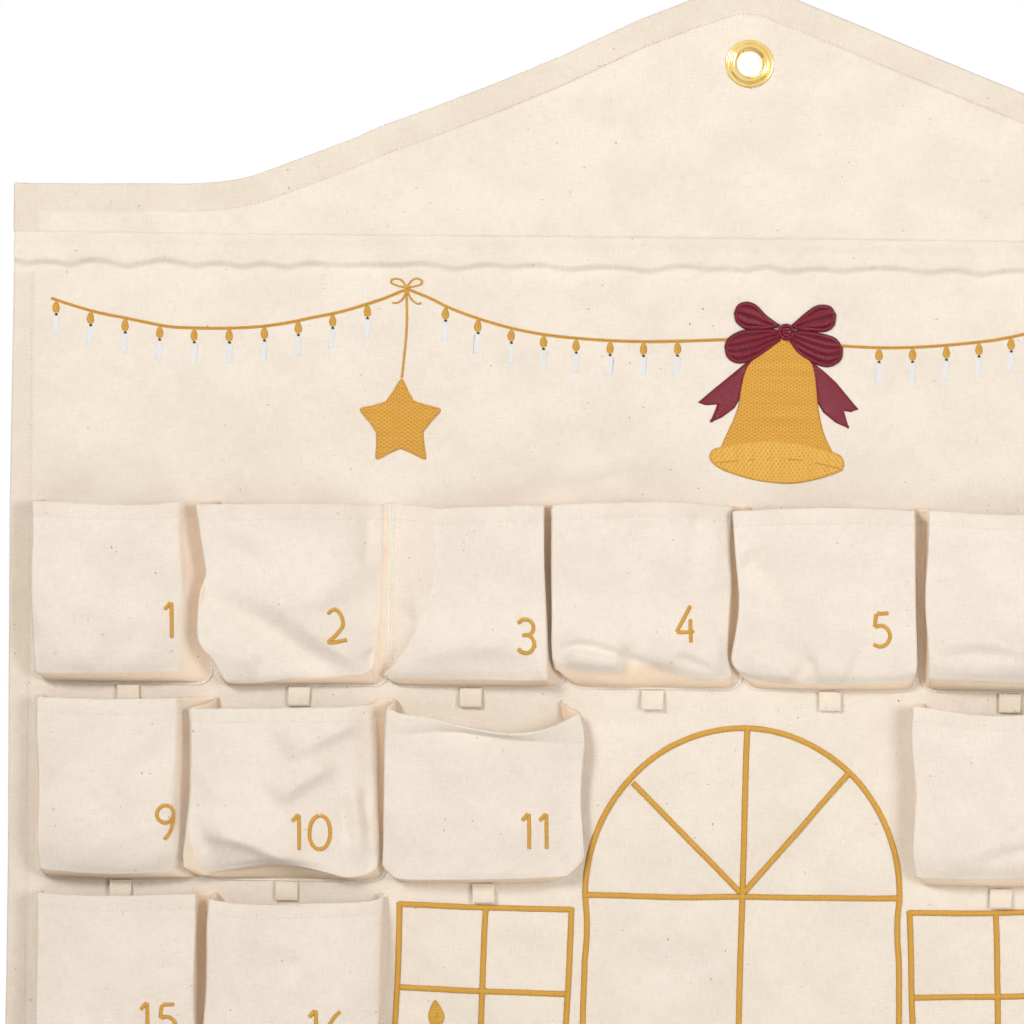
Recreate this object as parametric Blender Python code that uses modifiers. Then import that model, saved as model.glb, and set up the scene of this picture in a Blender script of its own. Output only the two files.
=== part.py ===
"""A canvas advent calendar in the shape of a house front, hung on a wall by one brass eyelet.

Twenty-four pockets with boxed corners are sewn to a canvas panel, and a tape loop hangs from the
bottom seam of each. A wooden rod in a sleeve behind the panel keeps the cloth straight, and the
roof above it carries the weight up to the eyelet. Gold and red embroidery lies on the front.

Metres, +Z up, +X to the viewer's right, front towards -Y. The origin is the centre of the eyelet's
hole, in the middle plane of the canvas.
"""

import math

import bmesh
import bpy

# Cloth
CANVAS = 0.0014
POCKET_CLOTH = 0.0009
REST_GAP = 0.0003
WELD = 0.00001

# Pockets
COLUMNS = 8
POCKET_PITCH = 0.106
POCKET_GAP = 0.001
POCKET_HEIGHT = 0.110
POCKET_DEPTH = 0.026
ROW_GAP = 0.007
SEAM_ALLOWANCE = 0.004
CORNER_RADIUS = 0.009
HEM_HEIGHT = 0.0085
HEM_THICKNESS = 0.0020
HEM_STEP = 0.0015
SIDE_MARGIN = 0.016
BOTTOM_MARGIN = 0.028

# Tape loops
LOOP_WIDTH = 0.013
LOOP_LENGTH = 0.011
LOOP_TAPE = 0.0008
LOOP_GAP = 0.0012

# Roof
APEX_RISE = 0.049
ROOF_ANGLE = math.radians(21.6)
APEX_RADIUS = 0.040
EAVE_DROP = 0.076
EAVE_RADIUS = 0.150
EAVE_HEIGHT = 0.029
ROOF_HEM = 0.017

# Turned hems on the back of the panels
HEM_WIDTH = 0.013
HEM_LAYER = 0.0008
HEM_INSET = 0.0006

# Rod and sleeve
ROD_DIAMETER = 0.012
ROD_CLEARANCE = 0.0005
ROD_END_INSET = 0.003
ROD_CHAMFER = 0.001
RIDGE_HEIGHT = 0.004
SLEEVE_CLOTH = 0.0009
SLEEVE_EASE = 0.001
SLEEVE_FLANGE = 0.003
SLEEVE_END_INSET = 0.004

# Eyelet
EYELET_HOLE = 0.0153
EYELET_WALL = 0.0006
EYELET_FLANGE = 0.0288
EYELET_CROWN = 0.0026
EYELET_ROLL = 0.0014
WASHER_DIAMETER = 0.0268
WASHER_THICKNESS = 0.0009

# Embroidery
THREAD = 0.0010
SATIN_WIDTH = 0.0037
GARLAND_WIDTH = 0.0024
GARLAND_LEFT_KNOT = -0.205
GARLAND_RIGHT_KNOT = 0.223
GARLAND_END = 0.018
GARLAND_DROP = 0.012
GARLAND_FALL = 0.028
GARLAND_SAG = 0.016
GARLAND_SAG_OUTER = 0.024
STAR_RADIUS = 0.0275
STAR_DROP = 0.052
STAR_TIP = 0.0035
STAR_WAIST_SHARE = 0.60
BELL_HEIGHT = 0.083
BELL_RADIUS = 0.040
BELL_GAP = 0.0005
BELL_MARGIN = 0.015
BELL_OFFSET = 0.0235
BOW_WIDTH = 0.093
BOW_HEIGHT = 0.076
BOW_RISE = 0.0067
ARCH_SIDE_GAP = 0.0088
ARCH_TOP_GAP = 0.0165
WINDOW_ARCH_GAP = 0.0030
WINDOW_POCKET_GAP = 0.0068
WINDOW_HEIGHT = 0.103
WINDOW_LOOP_GAP = 0.002

# Facets
ARC_STEPS = 8
ROUND_STEPS = 24
RIDGE_STEPS = 10
SLEEVE_STEPS = 8
GARLAND_STEPS = 14

# Places that follow from the sizes, with heights measured along Z
FRONT = -CANVAS / 2
BACK = CANVAS / 2
HALF_WIDTH = COLUMNS / 2 * POCKET_PITCH + SIDE_MARGIN
POCKET_WIDTH = POCKET_PITCH - POCKET_GAP
SEAM_Z = -EAVE_DROP - EAVE_HEIGHT
ROD_RADIUS = ROD_DIAMETER / 2
SLEEVE_BORE = ROD_RADIUS + ROD_CLEARANCE
SLEEVE_HALF = SLEEVE_BORE + SLEEVE_EASE + SLEEVE_FLANGE
ROD_Z = SEAM_Z - SLEEVE_HALF
ROD_Y = BACK - RIDGE_HEIGHT + SLEEVE_BORE
KNOT_Z = ROD_Z - SLEEVE_HALF - GARLAND_DROP
GARLAND_LOW_Z = KNOT_Z - GARLAND_FALL
BELL_TOP_Z = GARLAND_LOW_Z - GARLAND_WIDTH / 2 - BELL_GAP
MOUTH_Z = BELL_TOP_Z - BELL_HEIGHT - BELL_MARGIN
ROW_PITCH = POCKET_HEIGHT + ROW_GAP
EYELET_BARREL = EYELET_HOLE / 2 + EYELET_WALL

# Columns of pockets in each row. The arched window fills the middle of rows 2 to 4, and a square
# window fills the third column from each side in row 3.
ROW_COLUMNS = (
    (0, 1, 2, 3, 4, 5, 6, 7),
    (0, 1, 2, 5, 6, 7),
    (0, 1, 6, 7),
    (0, 1, 2, 5, 6, 7),
)
BOTTOM_Z = MOUTH_Z - len(ROW_COLUMNS) * ROW_PITCH + ROW_GAP - BOTTOM_MARGIN

# How the front of each pocket lies, by its number. The first four are how far in from its own seam
# the left fold is at the mouth and at the foot, then the right fold, as shares of the pitch; then
# the depth at the left and right folds, as shares of the pocket's depth; then how far the foot is
# lifted at the left and the right, and how far the mouth dips, as shares of the pocket's height.
POCKET_SHARES = {
    1: (-0.03, -0.02, 0.16, 0.11, 0.95, 0.80, 0.07, 0.06, 0.02),
    2: (-0.08, -0.04, 0.03, 0.05, 0.95, 0.70, 0.06, 0.09, 0.00),
    3: (0.22, 0.08, 0.06, 0.05, 0.70, 0.95, 0.07, 0.07, 0.01),
    4: (-0.04, -0.03, 0.06, 0.07, 0.95, 0.85, 0.13, 0.08, 0.00),
    5: (-0.03, -0.03, 0.04, 0.05, 0.95, 0.90, 0.07, 0.08, 0.01),
    6: (0.02, 0.02, 0.10, 0.09, 0.95, 0.90, 0.09, 0.07, 0.02),
    7: (-0.06, -0.05, 0.06, 0.05, 0.95, 0.85, 0.06, 0.11, 0.01),
    8: (-0.03, -0.02, 0.03, 0.04, 0.95, 0.90, 0.08, 0.07, 0.03),
    9: (0.01, 0.02, 0.19, 0.20, 0.95, 0.80, 0.07, 0.06, 0.01),
    10: (-0.12, -0.14, 0.07, 0.10, 0.95, 0.85, 0.20, 0.06, 0.02),
    11: (-0.03, -0.03, -0.08, -0.07, 0.90, 0.95, 0.06, 0.06, 0.12),
    12: (-0.06, -0.04, 0.05, 0.06, 0.95, 0.90, 0.07, 0.10, 0.05),
    13: (-0.02, -0.01, 0.09, 0.08, 0.90, 0.85, 0.12, 0.07, 0.01),
    14: (-0.05, -0.05, 0.03, 0.03, 0.95, 0.90, 0.06, 0.08, 0.02),
    15: (0.02, 0.02, 0.07, 0.06, 0.95, 0.90, 0.07, 0.07, 0.01),
    16: (-0.03, -0.03, 0.02, 0.04, 0.95, 0.85, 0.09, 0.07, 0.01),
    17: (0.02, 0.03, 0.06, 0.07, 0.90, 0.90, 0.07, 0.12, 0.03),
    18: (-0.03, -0.03, 0.03, 0.03, 0.95, 0.90, 0.08, 0.06, 0.01),
    19: (-0.02, -0.02, 0.08, 0.07, 0.95, 0.85, 0.07, 0.10, 0.02),
    20: (-0.05, -0.04, 0.04, 0.05, 0.95, 0.85, 0.14, 0.07, 0.01),
    21: (-0.01, 0.01, 0.02, 0.03, 0.90, 0.95, 0.07, 0.07, 0.04),
    22: (0.02, 0.03, 0.06, 0.05, 0.95, 0.90, 0.06, 0.09, 0.01),
    23: (-0.03, -0.02, 0.08, 0.07, 0.95, 0.80, 0.10, 0.07, 0.02),
    24: (-0.05, -0.04, 0.03, 0.03, 0.95, 0.90, 0.07, 0.07, 0.00),
}

# How far each loop is sewn to the right of its pocket's middle, by number, as shares of the pitch.
LOOP_SHIFT_SHARES = (
    0.02, -0.01, -0.04, -0.01, -0.01, 0.01, -0.02, 0.03, -0.01, -0.07, 0.04, -0.03,
    0.02, 0.00, 0.01, -0.02, 0.03, -0.01, 0.00, 0.02, -0.03, 0.01, -0.01, 0.02,
)

# The pocket's cloth as a grid. Columns 0 and 1 and the last two are the sewn edges, the next ones
# in are the sides, and the five in the middle are the front. Rows 0 and 1 are the sewn foot, row 2
# is the floor, row 3 the fold at the foot of the front, and the last two the hem.
FLAT_ACROSS_SHARES = (0.14, 0.24, 0.37, 0.5, 0.63, 0.76, 0.86)
FRONT_ACROSS_SHARES = (0.0, 0.18, 0.5, 0.82, 1.0)
COLUMN_DEPTH_SHARES = (0, 0, 0.5, 0.94, 1.04, 1.08, 1.04, 0.94, 0.5, 0, 0)
ROW_DEPTH_SHARES = (0, 0, 0.5, 0.90, 1.04, 0.96, 0.95, 0.95)
SIDE_HEIGHT_SHARES = (0.14, 0.25, 0.52)
FRONT_MIDDLE_SHARE = 0.50
FLOOR_LIFT_SHARE = 0.4

# The bell's outline from the middle of its top, down its right side, along its rim and up its left
# side, in shares of its radius and height. It leans a little to the left.
BELL_SHARES = (
    (-0.03, 0.00), (0.20, -0.04), (0.36, -0.14), (0.45, -0.22), (0.48, -0.35), (0.50, -0.47),
    (0.55, -0.58), (0.67, -0.75), (0.76, -0.79), (0.85, -0.80), (0.89, -0.88), (0.88, -0.91),
    (0.57, -0.96), (0.19, -1.00), (-0.10, -1.00), (-0.48, -0.98), (-0.86, -0.92), (-1.06, -0.87),
    (-1.12, -0.81), (-1.10, -0.77), (-0.98, -0.75), (-0.92, -0.70), (-0.77, -0.54),
    (-0.70, -0.44), (-0.67, -0.34), (-0.61, -0.22), (-0.54, -0.15), (-0.30, -0.04),
)

# The bow's outline from the top of its knot, round the right loops, down the right tail and back
# under the knot, then up the left tail and round the left loops, in shares of half its width and
# of its height.
BOW_SHARES = (
    (0.00, 0.07), (0.08, 0.06), (0.24, 0.16), (0.41, 0.22), (0.57, 0.21), (0.65, 0.15),
    (0.62, 0.06), (0.54, 0.00), (0.66, -0.04), (0.74, -0.12), (0.72, -0.21), (0.61, -0.26),
    (0.53, -0.29), (0.66, -0.39), (0.85, -0.53), (0.95, -0.60), (0.76, -0.61), (0.83, -0.76),
    (0.66, -0.71), (0.49, -0.63), (0.42, -0.54), (0.41, -0.45), (0.38, -0.33), (0.33, -0.24),
    (0.13, -0.16), (0.01, -0.07), (-0.05, -0.07), (-0.18, -0.13), (-0.38, -0.21), (-0.48, -0.24),
    (-0.53, -0.28), (-0.57, -0.37), (-0.60, -0.52), (-0.66, -0.60), (-0.81, -0.67),
    (-0.97, -0.72), (-0.88, -0.57), (-1.13, -0.56), (-0.94, -0.46), (-0.74, -0.36),
    (-0.61, -0.27), (-0.66, -0.24), (-0.76, -0.20), (-0.79, -0.12), (-0.74, -0.04), (-0.58, 0.01),
    (-0.65, 0.07), (-0.68, 0.15), (-0.63, 0.22), (-0.51, 0.24), (-0.38, 0.22), (-0.25, 0.14),
    (-0.12, 0.07),
)


def clear_scene():
    for obj in list(bpy.data.objects):
        bpy.data.objects.remove(obj)


def collection(name):
    made = bpy.data.collections.new(name)
    bpy.context.scene.collection.children.link(made)
    return made


def material(name, colour, roughness, metallic=0.0):
    made = bpy.data.materials.new(name)
    made.use_nodes = True
    shader = made.node_tree.nodes["Principled BSDF"]
    shader.inputs["Base Color"].default_value = (*colour, 1.0)
    shader.inputs["Roughness"].default_value = roughness
    shader.inputs["Metallic"].default_value = metallic
    return made


def mix(low, high, share):
    return low + (high - low) * share


def arc(centre, radius, start, end, steps=ARC_STEPS):
    """Points of an arc in the plane of the panel, from one angle to the other."""
    angles = [mix(start, end, k / steps) for k in range(steps + 1)]
    return [
        (centre[0] + radius * math.cos(a), centre[1] + radius * math.sin(a)) for a in angles
    ]


def place(obj, finish):
    """Puts an object in the calendar's collection, under its empty, with one material."""
    obj.data.materials.append(finish)
    calendar.objects.link(obj)
    obj.parent = frame
    return obj


def plate(name, outlines, front, thickness, finish):
    """A flat piece cut to outlines of X and Z, whose front face is at Y = front. An outline that
    lies inside the first is a hole."""
    curve = bpy.data.curves.new(name, "CURVE")
    curve.dimensions = "2D"
    curve.fill_mode = "BOTH"
    curve.extrude = thickness / 2
    for outline in outlines:
        spline = curve.splines.new("POLY")
        spline.points.add(len(outline) - 1)
        for point, (x, z) in zip(spline.points, outline):
            point.co = (x, z, 0, 1)
        spline.use_cyclic_u = True
    obj = bpy.data.objects.new(name, curve)
    obj.rotation_euler = (math.radians(90), 0, 0)
    obj.location.y = front + thickness / 2
    return place(obj, finish)


def mesh_of(obj):
    """The same piece as a mesh object with its caps welded, so that a Boolean can work on it."""
    bpy.context.view_layer.update()
    evaluated = obj.evaluated_get(bpy.context.evaluated_depsgraph_get())
    mesh = bpy.data.meshes.new_from_object(evaluated)
    shell = bmesh.new()
    shell.from_mesh(mesh)
    bmesh.ops.remove_doubles(shell, verts=shell.verts, dist=WELD)
    bmesh.ops.recalc_face_normals(shell, faces=shell.faces)
    shell.to_mesh(mesh)
    shell.free()
    name, world = obj.name, obj.matrix_world.copy()
    bpy.data.objects.remove(obj)
    made = bpy.data.objects.new(name, mesh)
    calendar.objects.link(made)
    made.parent = frame
    made.matrix_world = world
    return made


def join(obj, other):
    """Fuses another mesh into obj, and keeps it as a hidden helper."""
    calendar.objects.unlink(other)
    helpers.objects.link(other)
    other.hide_render = True
    other.display_type = "WIRE"
    union = obj.modifiers.new("join " + other.name, "BOOLEAN")
    union.operation = "UNION"
    union.object = other


def grid_sheet(name, columns, rows, point, finish):
    """An open sheet of columns x rows vertices, each put where point(column, row) says."""
    sheet = bmesh.new()
    bmesh.ops.create_grid(sheet, x_segments=columns - 1, y_segments=rows - 1, size=0.5)
    for vertex in sheet.verts:
        column = round((vertex.co.x + 0.5) * (columns - 1))
        row = round((vertex.co.y + 0.5) * (rows - 1))
        vertex.co = point(column, row)
    mesh = bpy.data.meshes.new(name)
    sheet.to_mesh(mesh)
    sheet.free()
    mesh.shade_smooth()
    return place(bpy.data.objects.new(name, mesh), finish)


def thicken(obj, thickness, side):
    """Gives a sheet its thickness: side 1 adds it in front of the sheet, 0 on both sides of it,
    and -1 behind it."""
    solidify = obj.modifiers.new("cloth", "SOLIDIFY")
    solidify.thickness = thickness
    solidify.offset = side
    solidify.use_even_offset = True
    solidify.use_quality_normals = True
    return solidify


def turned(name, profile, finish):
    """A ring turned about the Y axis through the origin, from a closed profile of radius and Y."""
    ring = bmesh.new()
    corners = [ring.verts.new((radius, 0, y)) for radius, y in profile]
    for first, second in zip(corners, corners[1:] + corners[:1]):
        ring.edges.new((first, second))
    mesh = bpy.data.meshes.new(name)
    ring.to_mesh(mesh)
    ring.free()
    obj = place(bpy.data.objects.new(name, mesh), finish)
    obj.rotation_euler = (math.radians(-90), 0, 0)
    screw = obj.modifiers.new("turn", "SCREW")
    screw.axis = "Z"
    screw.steps = ROUND_STEPS
    screw.render_steps = ROUND_STEPS
    screw.use_smooth_shade = True
    screw.use_merge_vertices = True
    screw.merge_threshold = WELD
    return obj


def roof_edge(inset):
    """The roof's top edge from the left side to the right, moved inwards by inset."""
    apex = APEX_RISE - inset / math.cos(ROOF_ANGLE)
    eave = -EAVE_DROP - inset
    tip, foot = APEX_RADIUS - inset, EAVE_RADIUS + inset
    eave_x = (apex - eave) / math.tan(ROOF_ANGLE) + foot * math.tan(ROOF_ANGLE / 2)
    tip_z = apex - tip / math.cos(ROOF_ANGLE)
    upright = math.radians(90)
    right = arc((0, tip_z), tip, upright, upright - ROOF_ANGLE, ARC_STEPS // 2)
    right += arc(
        (eave_x, eave + foot), foot, -upright - ROOF_ANGLE, -upright, ARC_STEPS // 2
    )
    right.append((HALF_WIDTH - inset, eave))
    return [(-x, z) for x, z in right[:0:-1]] + right


def roof_panel():
    """The roof: canvas with a hole for the eyelet and a wide hem turned to its back."""
    low = SEAM_Z + REST_GAP / 2
    outline = [(-HALF_WIDTH, low), *roof_edge(0), (HALF_WIDTH, low)]
    hole = arc((0, 0), EYELET_BARREL + REST_GAP, 0, math.radians(360), ROUND_STEPS)[:-1]
    panel = mesh_of(plate("roof_panel", [outline, hole], FRONT, CANVAS, canvas))
    outer, inner = roof_edge(HEM_INSET), roof_edge(ROOF_HEM)
    hem_low = low + HEM_INSET
    band = [(outer[0][0], hem_low), *outer, (outer[-1][0], hem_low)]
    band += [(inner[-1][0], hem_low), *inner[::-1], (inner[0][0], hem_low)]
    hem = plate("roof_hem", [band], 0, BACK + HEM_LAYER, canvas)
    join(panel, mesh_of(hem))


def ridge(height):
    """How far the panel bulges forward over the rod at this height."""
    away = abs(height - ROD_Z) / SLEEVE_HALF
    return RIDGE_HEIGHT * math.cos(math.radians(90) * away) ** 2 if away < 1 else 0


def body_panel():
    """The panel that carries the pockets, raised over the rod, with hems on three sides."""
    top = SEAM_Z - REST_GAP / 2
    low = ROD_Z - SLEEVE_HALF
    heights = [BOTTOM_Z] + [mix(low, SEAM_Z, k / RIDGE_STEPS) for k in range(RIDGE_STEPS)] + [top]

    def point(column, row):
        side = -HALF_WIDTH if column == 0 else HALF_WIDTH
        return side, -ridge(heights[row]), heights[row]

    panel = grid_sheet("body_panel", 2, len(heights), point, canvas)
    thicken(panel, CANVAS, 0)
    outer, inner = HALF_WIDTH - HEM_INSET, HALF_WIDTH - HEM_WIDTH
    foot, hem_top = BOTTOM_Z + HEM_INSET, low - HEM_INSET
    band = [(-outer, hem_top), (-outer, foot), (outer, foot), (outer, hem_top)]
    band += [(inner, hem_top), (inner, BOTTOM_Z + HEM_WIDTH)]
    band += [(-inner, BOTTOM_Z + HEM_WIDTH), (-inner, hem_top)]
    join(panel, mesh_of(plate("body_hem", [band], 0, BACK + HEM_LAYER, canvas)))


def rod_sleeve():
    """The strip of canvas sewn above and below the rod, behind the panel."""
    flat = BACK + REST_GAP
    root = SLEEVE_BORE + SLEEVE_EASE
    profile = [(flat, -SLEEVE_HALF), (flat, -root)]
    profile += [
        (ROD_Y + across, along)
        for along, across in arc((0, 0), SLEEVE_BORE, math.radians(180), 0, SLEEVE_STEPS)
    ]
    profile += [(flat, root), (flat, SLEEVE_HALF - REST_GAP)]
    half = HALF_WIDTH - SLEEVE_END_INSET

    def point(column, row):
        y, height = profile[row]
        return (half if column == 0 else -half), y, ROD_Z + height

    thicken(grid_sheet("rod_sleeve", 2, len(profile), point, canvas), SLEEVE_CLOTH, 1)


def wooden_rod():
    """The dowel in the sleeve, with its ends' edges broken."""
    length = 2 * (HALF_WIDTH - SLEEVE_END_INSET - ROD_END_INSET)
    dowel = bmesh.new()
    bmesh.ops.create_cone(
        dowel,
        cap_ends=True,
        segments=ROUND_STEPS,
        radius1=ROD_RADIUS,
        radius2=ROD_RADIUS,
        depth=length,
    )
    mesh = bpy.data.meshes.new("wooden_rod")
    dowel.to_mesh(mesh)
    dowel.free()
    rod = bpy.data.objects.new("wooden_rod", mesh)
    rod.rotation_euler = (0, math.radians(90), 0)
    rod.location = (0, ROD_Y, ROD_Z)
    bevel = rod.modifiers.new("broken edges", "BEVEL")
    bevel.width = ROD_CHAMFER
    bevel.segments = 1
    bevel.limit_method = "ANGLE"
    bevel.angle_limit = math.radians(60)
    rod.data.shade_smooth()
    rod.data.set_sharp_from_angle(angle=math.radians(40))
    place(rod, wood)


def eyelet():
    """The brass eyelet: a domed front flange, a barrel through the roof and a rolled back edge."""
    hole, flange = EYELET_HOLE / 2, EYELET_FLANGE / 2
    seat = FRONT - REST_GAP
    middle, half = (EYELET_BARREL + flange) / 2, (flange - EYELET_BARREL) / 2
    dome = [
        (middle + half * math.cos(a), seat - EYELET_CROWN * math.sin(a))
        for a in (math.radians(180 * k / ARC_STEPS) for k in range(ARC_STEPS))
    ]
    back = BACK + REST_GAP + WASHER_THICKNESS
    roll, rear = EYELET_BARREL + EYELET_ROLL, back + REST_GAP + EYELET_WALL
    profile = dome + [
        (EYELET_BARREL - EYELET_WALL / 2, seat - EYELET_WALL),
        (hole, seat + EYELET_WALL),
        (hole, back + REST_GAP),
        (EYELET_BARREL - EYELET_WALL / 2, rear),
        (roll - EYELET_WALL / 2, rear),
        (roll, rear - EYELET_WALL / 2),
        (roll, back + REST_GAP),
        (EYELET_BARREL, back + REST_GAP),
        (EYELET_BARREL, seat),
    ]
    turned("eyelet", profile, brass)
    inner, outer = EYELET_BARREL + REST_GAP, WASHER_DIAMETER / 2
    front = BACK + REST_GAP
    washer = [
        (outer, front),
        (inner, front),
        (inner, back),
        (outer - EYELET_WALL, back),
        (outer, back - EYELET_WALL),
    ]
    turned("eyelet_washer", washer, brass)


def seam_place(x, z):
    """Rounds the sewn corners at the pocket's foot, for X and Z from its lower left corner."""
    mirrored = x > POCKET_WIDTH / 2
    along = POCKET_WIDTH - x if mirrored else x
    if along < CORNER_RADIUS and z < CORNER_RADIUS:
        dx, dz = along - CORNER_RADIUS, z - CORNER_RADIUS
        away = math.hypot(dx, dz)
        if away > CORNER_RADIUS:
            along = CORNER_RADIUS + dx * CORNER_RADIUS / away
            z = CORNER_RADIUS + dz * CORNER_RADIUS / away
    return (POCKET_WIDTH - along if mirrored else along), z


def pocket_point(column, row, shares):
    """X, depth in front of the panel and Z of a vertex of a pocket, from its lower left corner."""
    last = len(COLUMN_DEPTH_SHARES) - 1
    left_top, left_low, right_top, right_low = (s * POCKET_PITCH for s in shares[:4])
    left_depth, right_depth, left_lift, right_lift, dip = shares[4:]
    width, height = POCKET_WIDTH, POCKET_HEIGHT
    edges = (0, SEAM_ALLOWANCE)
    flat = [*edges, *(s * width for s in FLAT_ACROSS_SHARES), width - edges[1], width]
    across = flat[column] / width
    lift = mix(left_lift, right_lift, across) * height
    hem = height - HEM_HEIGHT
    side_z = [*edges, *(s * height for s in SIDE_HEIGHT_SHARES), hem - HEM_STEP, hem, height]
    floor_z = mix(SEAM_ALLOWANCE, lift, FLOOR_LIFT_SHARE)
    front_z = [*edges, floor_z, lift, FRONT_MIDDLE_SHARE * height, *side_z[5:]]
    up = front_z[row] / height
    left, right = mix(left_low, left_top, up), width - mix(right_low, right_top, up)
    folds = [mix(left, right, s) for s in FRONT_ACROSS_SHARES]
    root = width - SEAM_ALLOWANCE
    front_x = [*edges, (SEAM_ALLOWANCE + left) / 2, *folds, (root + right) / 2, root, width]
    forward, sideways = ROW_DEPTH_SHARES[row], COLUMN_DEPTH_SHARES[column]
    x = mix(flat[column], front_x[column], min(1, forward))
    z = mix(side_z[row], front_z[row], min(1, sideways))
    if row > 4:
        z -= dip * height * math.sin(math.radians(180) * column / last) ** 2 * min(1, sideways)
    depth = POCKET_DEPTH * forward * sideways * mix(left_depth, right_depth, across)
    if forward == 0 or sideways == 0:
        x, z = seam_place(x, z)
    return x, depth, z


def pocket(number, column, row):
    """A pocket: one piece of canvas with a hemmed mouth and boxed corners, sewn on three sides."""
    left = (column - COLUMNS / 2) * POCKET_PITCH + POCKET_GAP / 2
    foot = MOUTH_Z - row * ROW_PITCH - POCKET_HEIGHT
    columns, rows = len(COLUMN_DEPTH_SHARES), len(ROW_DEPTH_SHARES)

    def point(i, j):
        x, depth, z = pocket_point(i, j, POCKET_SHARES[number])
        return left + x, FRONT - REST_GAP - depth, foot + z

    obj = grid_sheet(f"pocket_{number:02d}", columns, rows, point, canvas)
    cloth = thicken(obj, HEM_THICKNESS, 1)
    cloth.thickness_vertex_group = POCKET_CLOTH / HEM_THICKNESS
    hem = obj.vertex_groups.new(name="hem")
    hem.add(list(range(columns * (rows - 2), columns * rows)), 1.0, "REPLACE")
    cloth.vertex_group = hem.name


def tape_loop(number, column, row):
    """A folded tape that hangs from a pocket's bottom seam. Its origin is on its hinge's axis."""
    top, fold = LOOP_TAPE, LOOP_TAPE + LOOP_GAP / 2
    drop = LOOP_LENGTH - REST_GAP - top - fold
    half_turn = math.radians(180)
    outline = arc((0, 0), top, 0, half_turn, 3) + arc((0, -drop), fold, half_turn, 2 * half_turn, 4)
    inside = [(0, -top)] + arc((0, -drop), LOOP_GAP / 2, half_turn, 2 * half_turn, 2)
    curve = bpy.data.curves.new(f"tape_loop_{number:02d}", "CURVE")
    curve.dimensions = "2D"
    curve.fill_mode = "BOTH"
    curve.extrude = LOOP_WIDTH / 2
    for points in (outline, inside):
        spline = curve.splines.new("POLY")
        spline.points.add(len(points) - 1)
        for point, (y, z) in zip(spline.points, points):
            point.co = (y, z, 0, 1)
        spline.use_cyclic_u = True
    obj = bpy.data.objects.new(curve.name, curve)
    obj.rotation_euler = (math.radians(90), 0, math.radians(90))
    middle = (column + 0.5 - COLUMNS / 2 + LOOP_SHIFT_SHARES[number - 1]) * POCKET_PITCH
    foot = MOUTH_Z - row * ROW_PITCH - POCKET_HEIGHT
    obj.location = (middle, FRONT - REST_GAP - fold, foot - REST_GAP - top)
    place(obj, canvas)


def pockets_and_loops():
    number = 0
    for row, columns in enumerate(ROW_COLUMNS):
        for column in columns:
            number += 1
            pocket(number, column, row)
            tape_loop(number, column, row)


def star(centre):
    """A five-pointed star with blunt tips, from its upper point round anticlockwise."""
    points = []
    waist = STAR_RADIUS * STAR_WAIST_SHARE
    blunt = STAR_TIP / STAR_RADIUS
    for tip in range(5):
        angle = math.radians(90 + 72 * tip)
        for turn in (-blunt, 0, blunt):
            radius = STAR_RADIUS * (1 if turn == 0 else 1 - blunt * blunt)
            points.append((radius, angle + turn))
        points.append((waist, angle + math.radians(36)))
    return [(centre[0] + r * math.cos(a), centre[1] + r * math.sin(a)) for r, a in points]


def garland():
    """The embroidered garland: three swags a side of the bell, with a star under each knot."""
    half = GARLAND_WIDTH / 2
    end = HALF_WIDTH - GARLAND_END

    def swag(low, high, sag, ends):
        """Points of a swag between two X places, whose ends are as high as ends says."""
        made = []
        for k in range(GARLAND_STEPS):
            share = k / GARLAND_STEPS
            drop = 4 * sag * share * (1 - share)
            made.append((mix(low, high, share), mix(*ends, share) - drop))
        return made

    knots = (GARLAND_LEFT_KNOT, GARLAND_RIGHT_KNOT)
    ends = (KNOT_Z, GARLAND_LOW_Z)
    line = swag(-end, knots[0], GARLAND_SAG_OUTER, (KNOT_Z, KNOT_Z))
    line += swag(knots[0], BELL_OFFSET, GARLAND_SAG, ends)
    line += swag(BELL_OFFSET, knots[1], GARLAND_SAG, ends[::-1])
    line += swag(knots[1], end, GARLAND_SAG_OUTER, (KNOT_Z, KNOT_Z))
    line.append((end, KNOT_Z))
    upper = [(x, z + half) for x, z in line]
    lower = []
    for x, z in line:
        if x in knots:
            top = z - STAR_DROP
            hung = star((x, top - STAR_RADIUS + half))
            lower += [(x - half, z - half), (x - half, top - half)]
            lower += hung[2:] + hung[:1]
            lower += [(x + half, top - half), (x + half, z - half)]
        else:
            lower.append((x, z - half))
    plate("garland", [upper[::-1] + lower], FRONT - REST_GAP - THREAD, THREAD, gold)


def outline_of(shares, centre, half_width, height):
    """A closed outline about a point, from shares of a half width and a height."""
    return [(centre[0] + x * half_width, centre[1] + z * height) for x, z in shares]


def bell_and_bow():
    top = (BELL_OFFSET, BELL_TOP_Z)
    knot = (BELL_OFFSET, BELL_TOP_Z + BOW_RISE)
    front = FRONT - REST_GAP - THREAD
    outline = outline_of(BELL_SHARES, top, BELL_RADIUS, BELL_HEIGHT)
    plate("bell", [outline], front, THREAD, gold)
    outline = outline_of(BOW_SHARES, knot, BOW_WIDTH / 2, BOW_HEIGHT)
    plate("bow", [outline], front - REST_GAP - THREAD, THREAD, red)


def pane(low, high):
    """The outline of a pane between two corners."""
    return [low, (high[0], low[1]), high, (low[0], high[1])]


def fan_pane(centre, radius, start, end):
    """A pane of the fanlight, between two of its bars."""
    half = SATIN_WIDTH / 2
    turn = math.asin(half / radius)
    bisector = (start + end) / 2
    root = half / math.sin((end - start) / 2)
    tip = (centre[0] + root * math.cos(bisector), centre[1] + root * math.sin(bisector))
    return [tip, *arc(centre, radius, start + turn, end - turn, ARC_STEPS // 2)]


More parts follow.
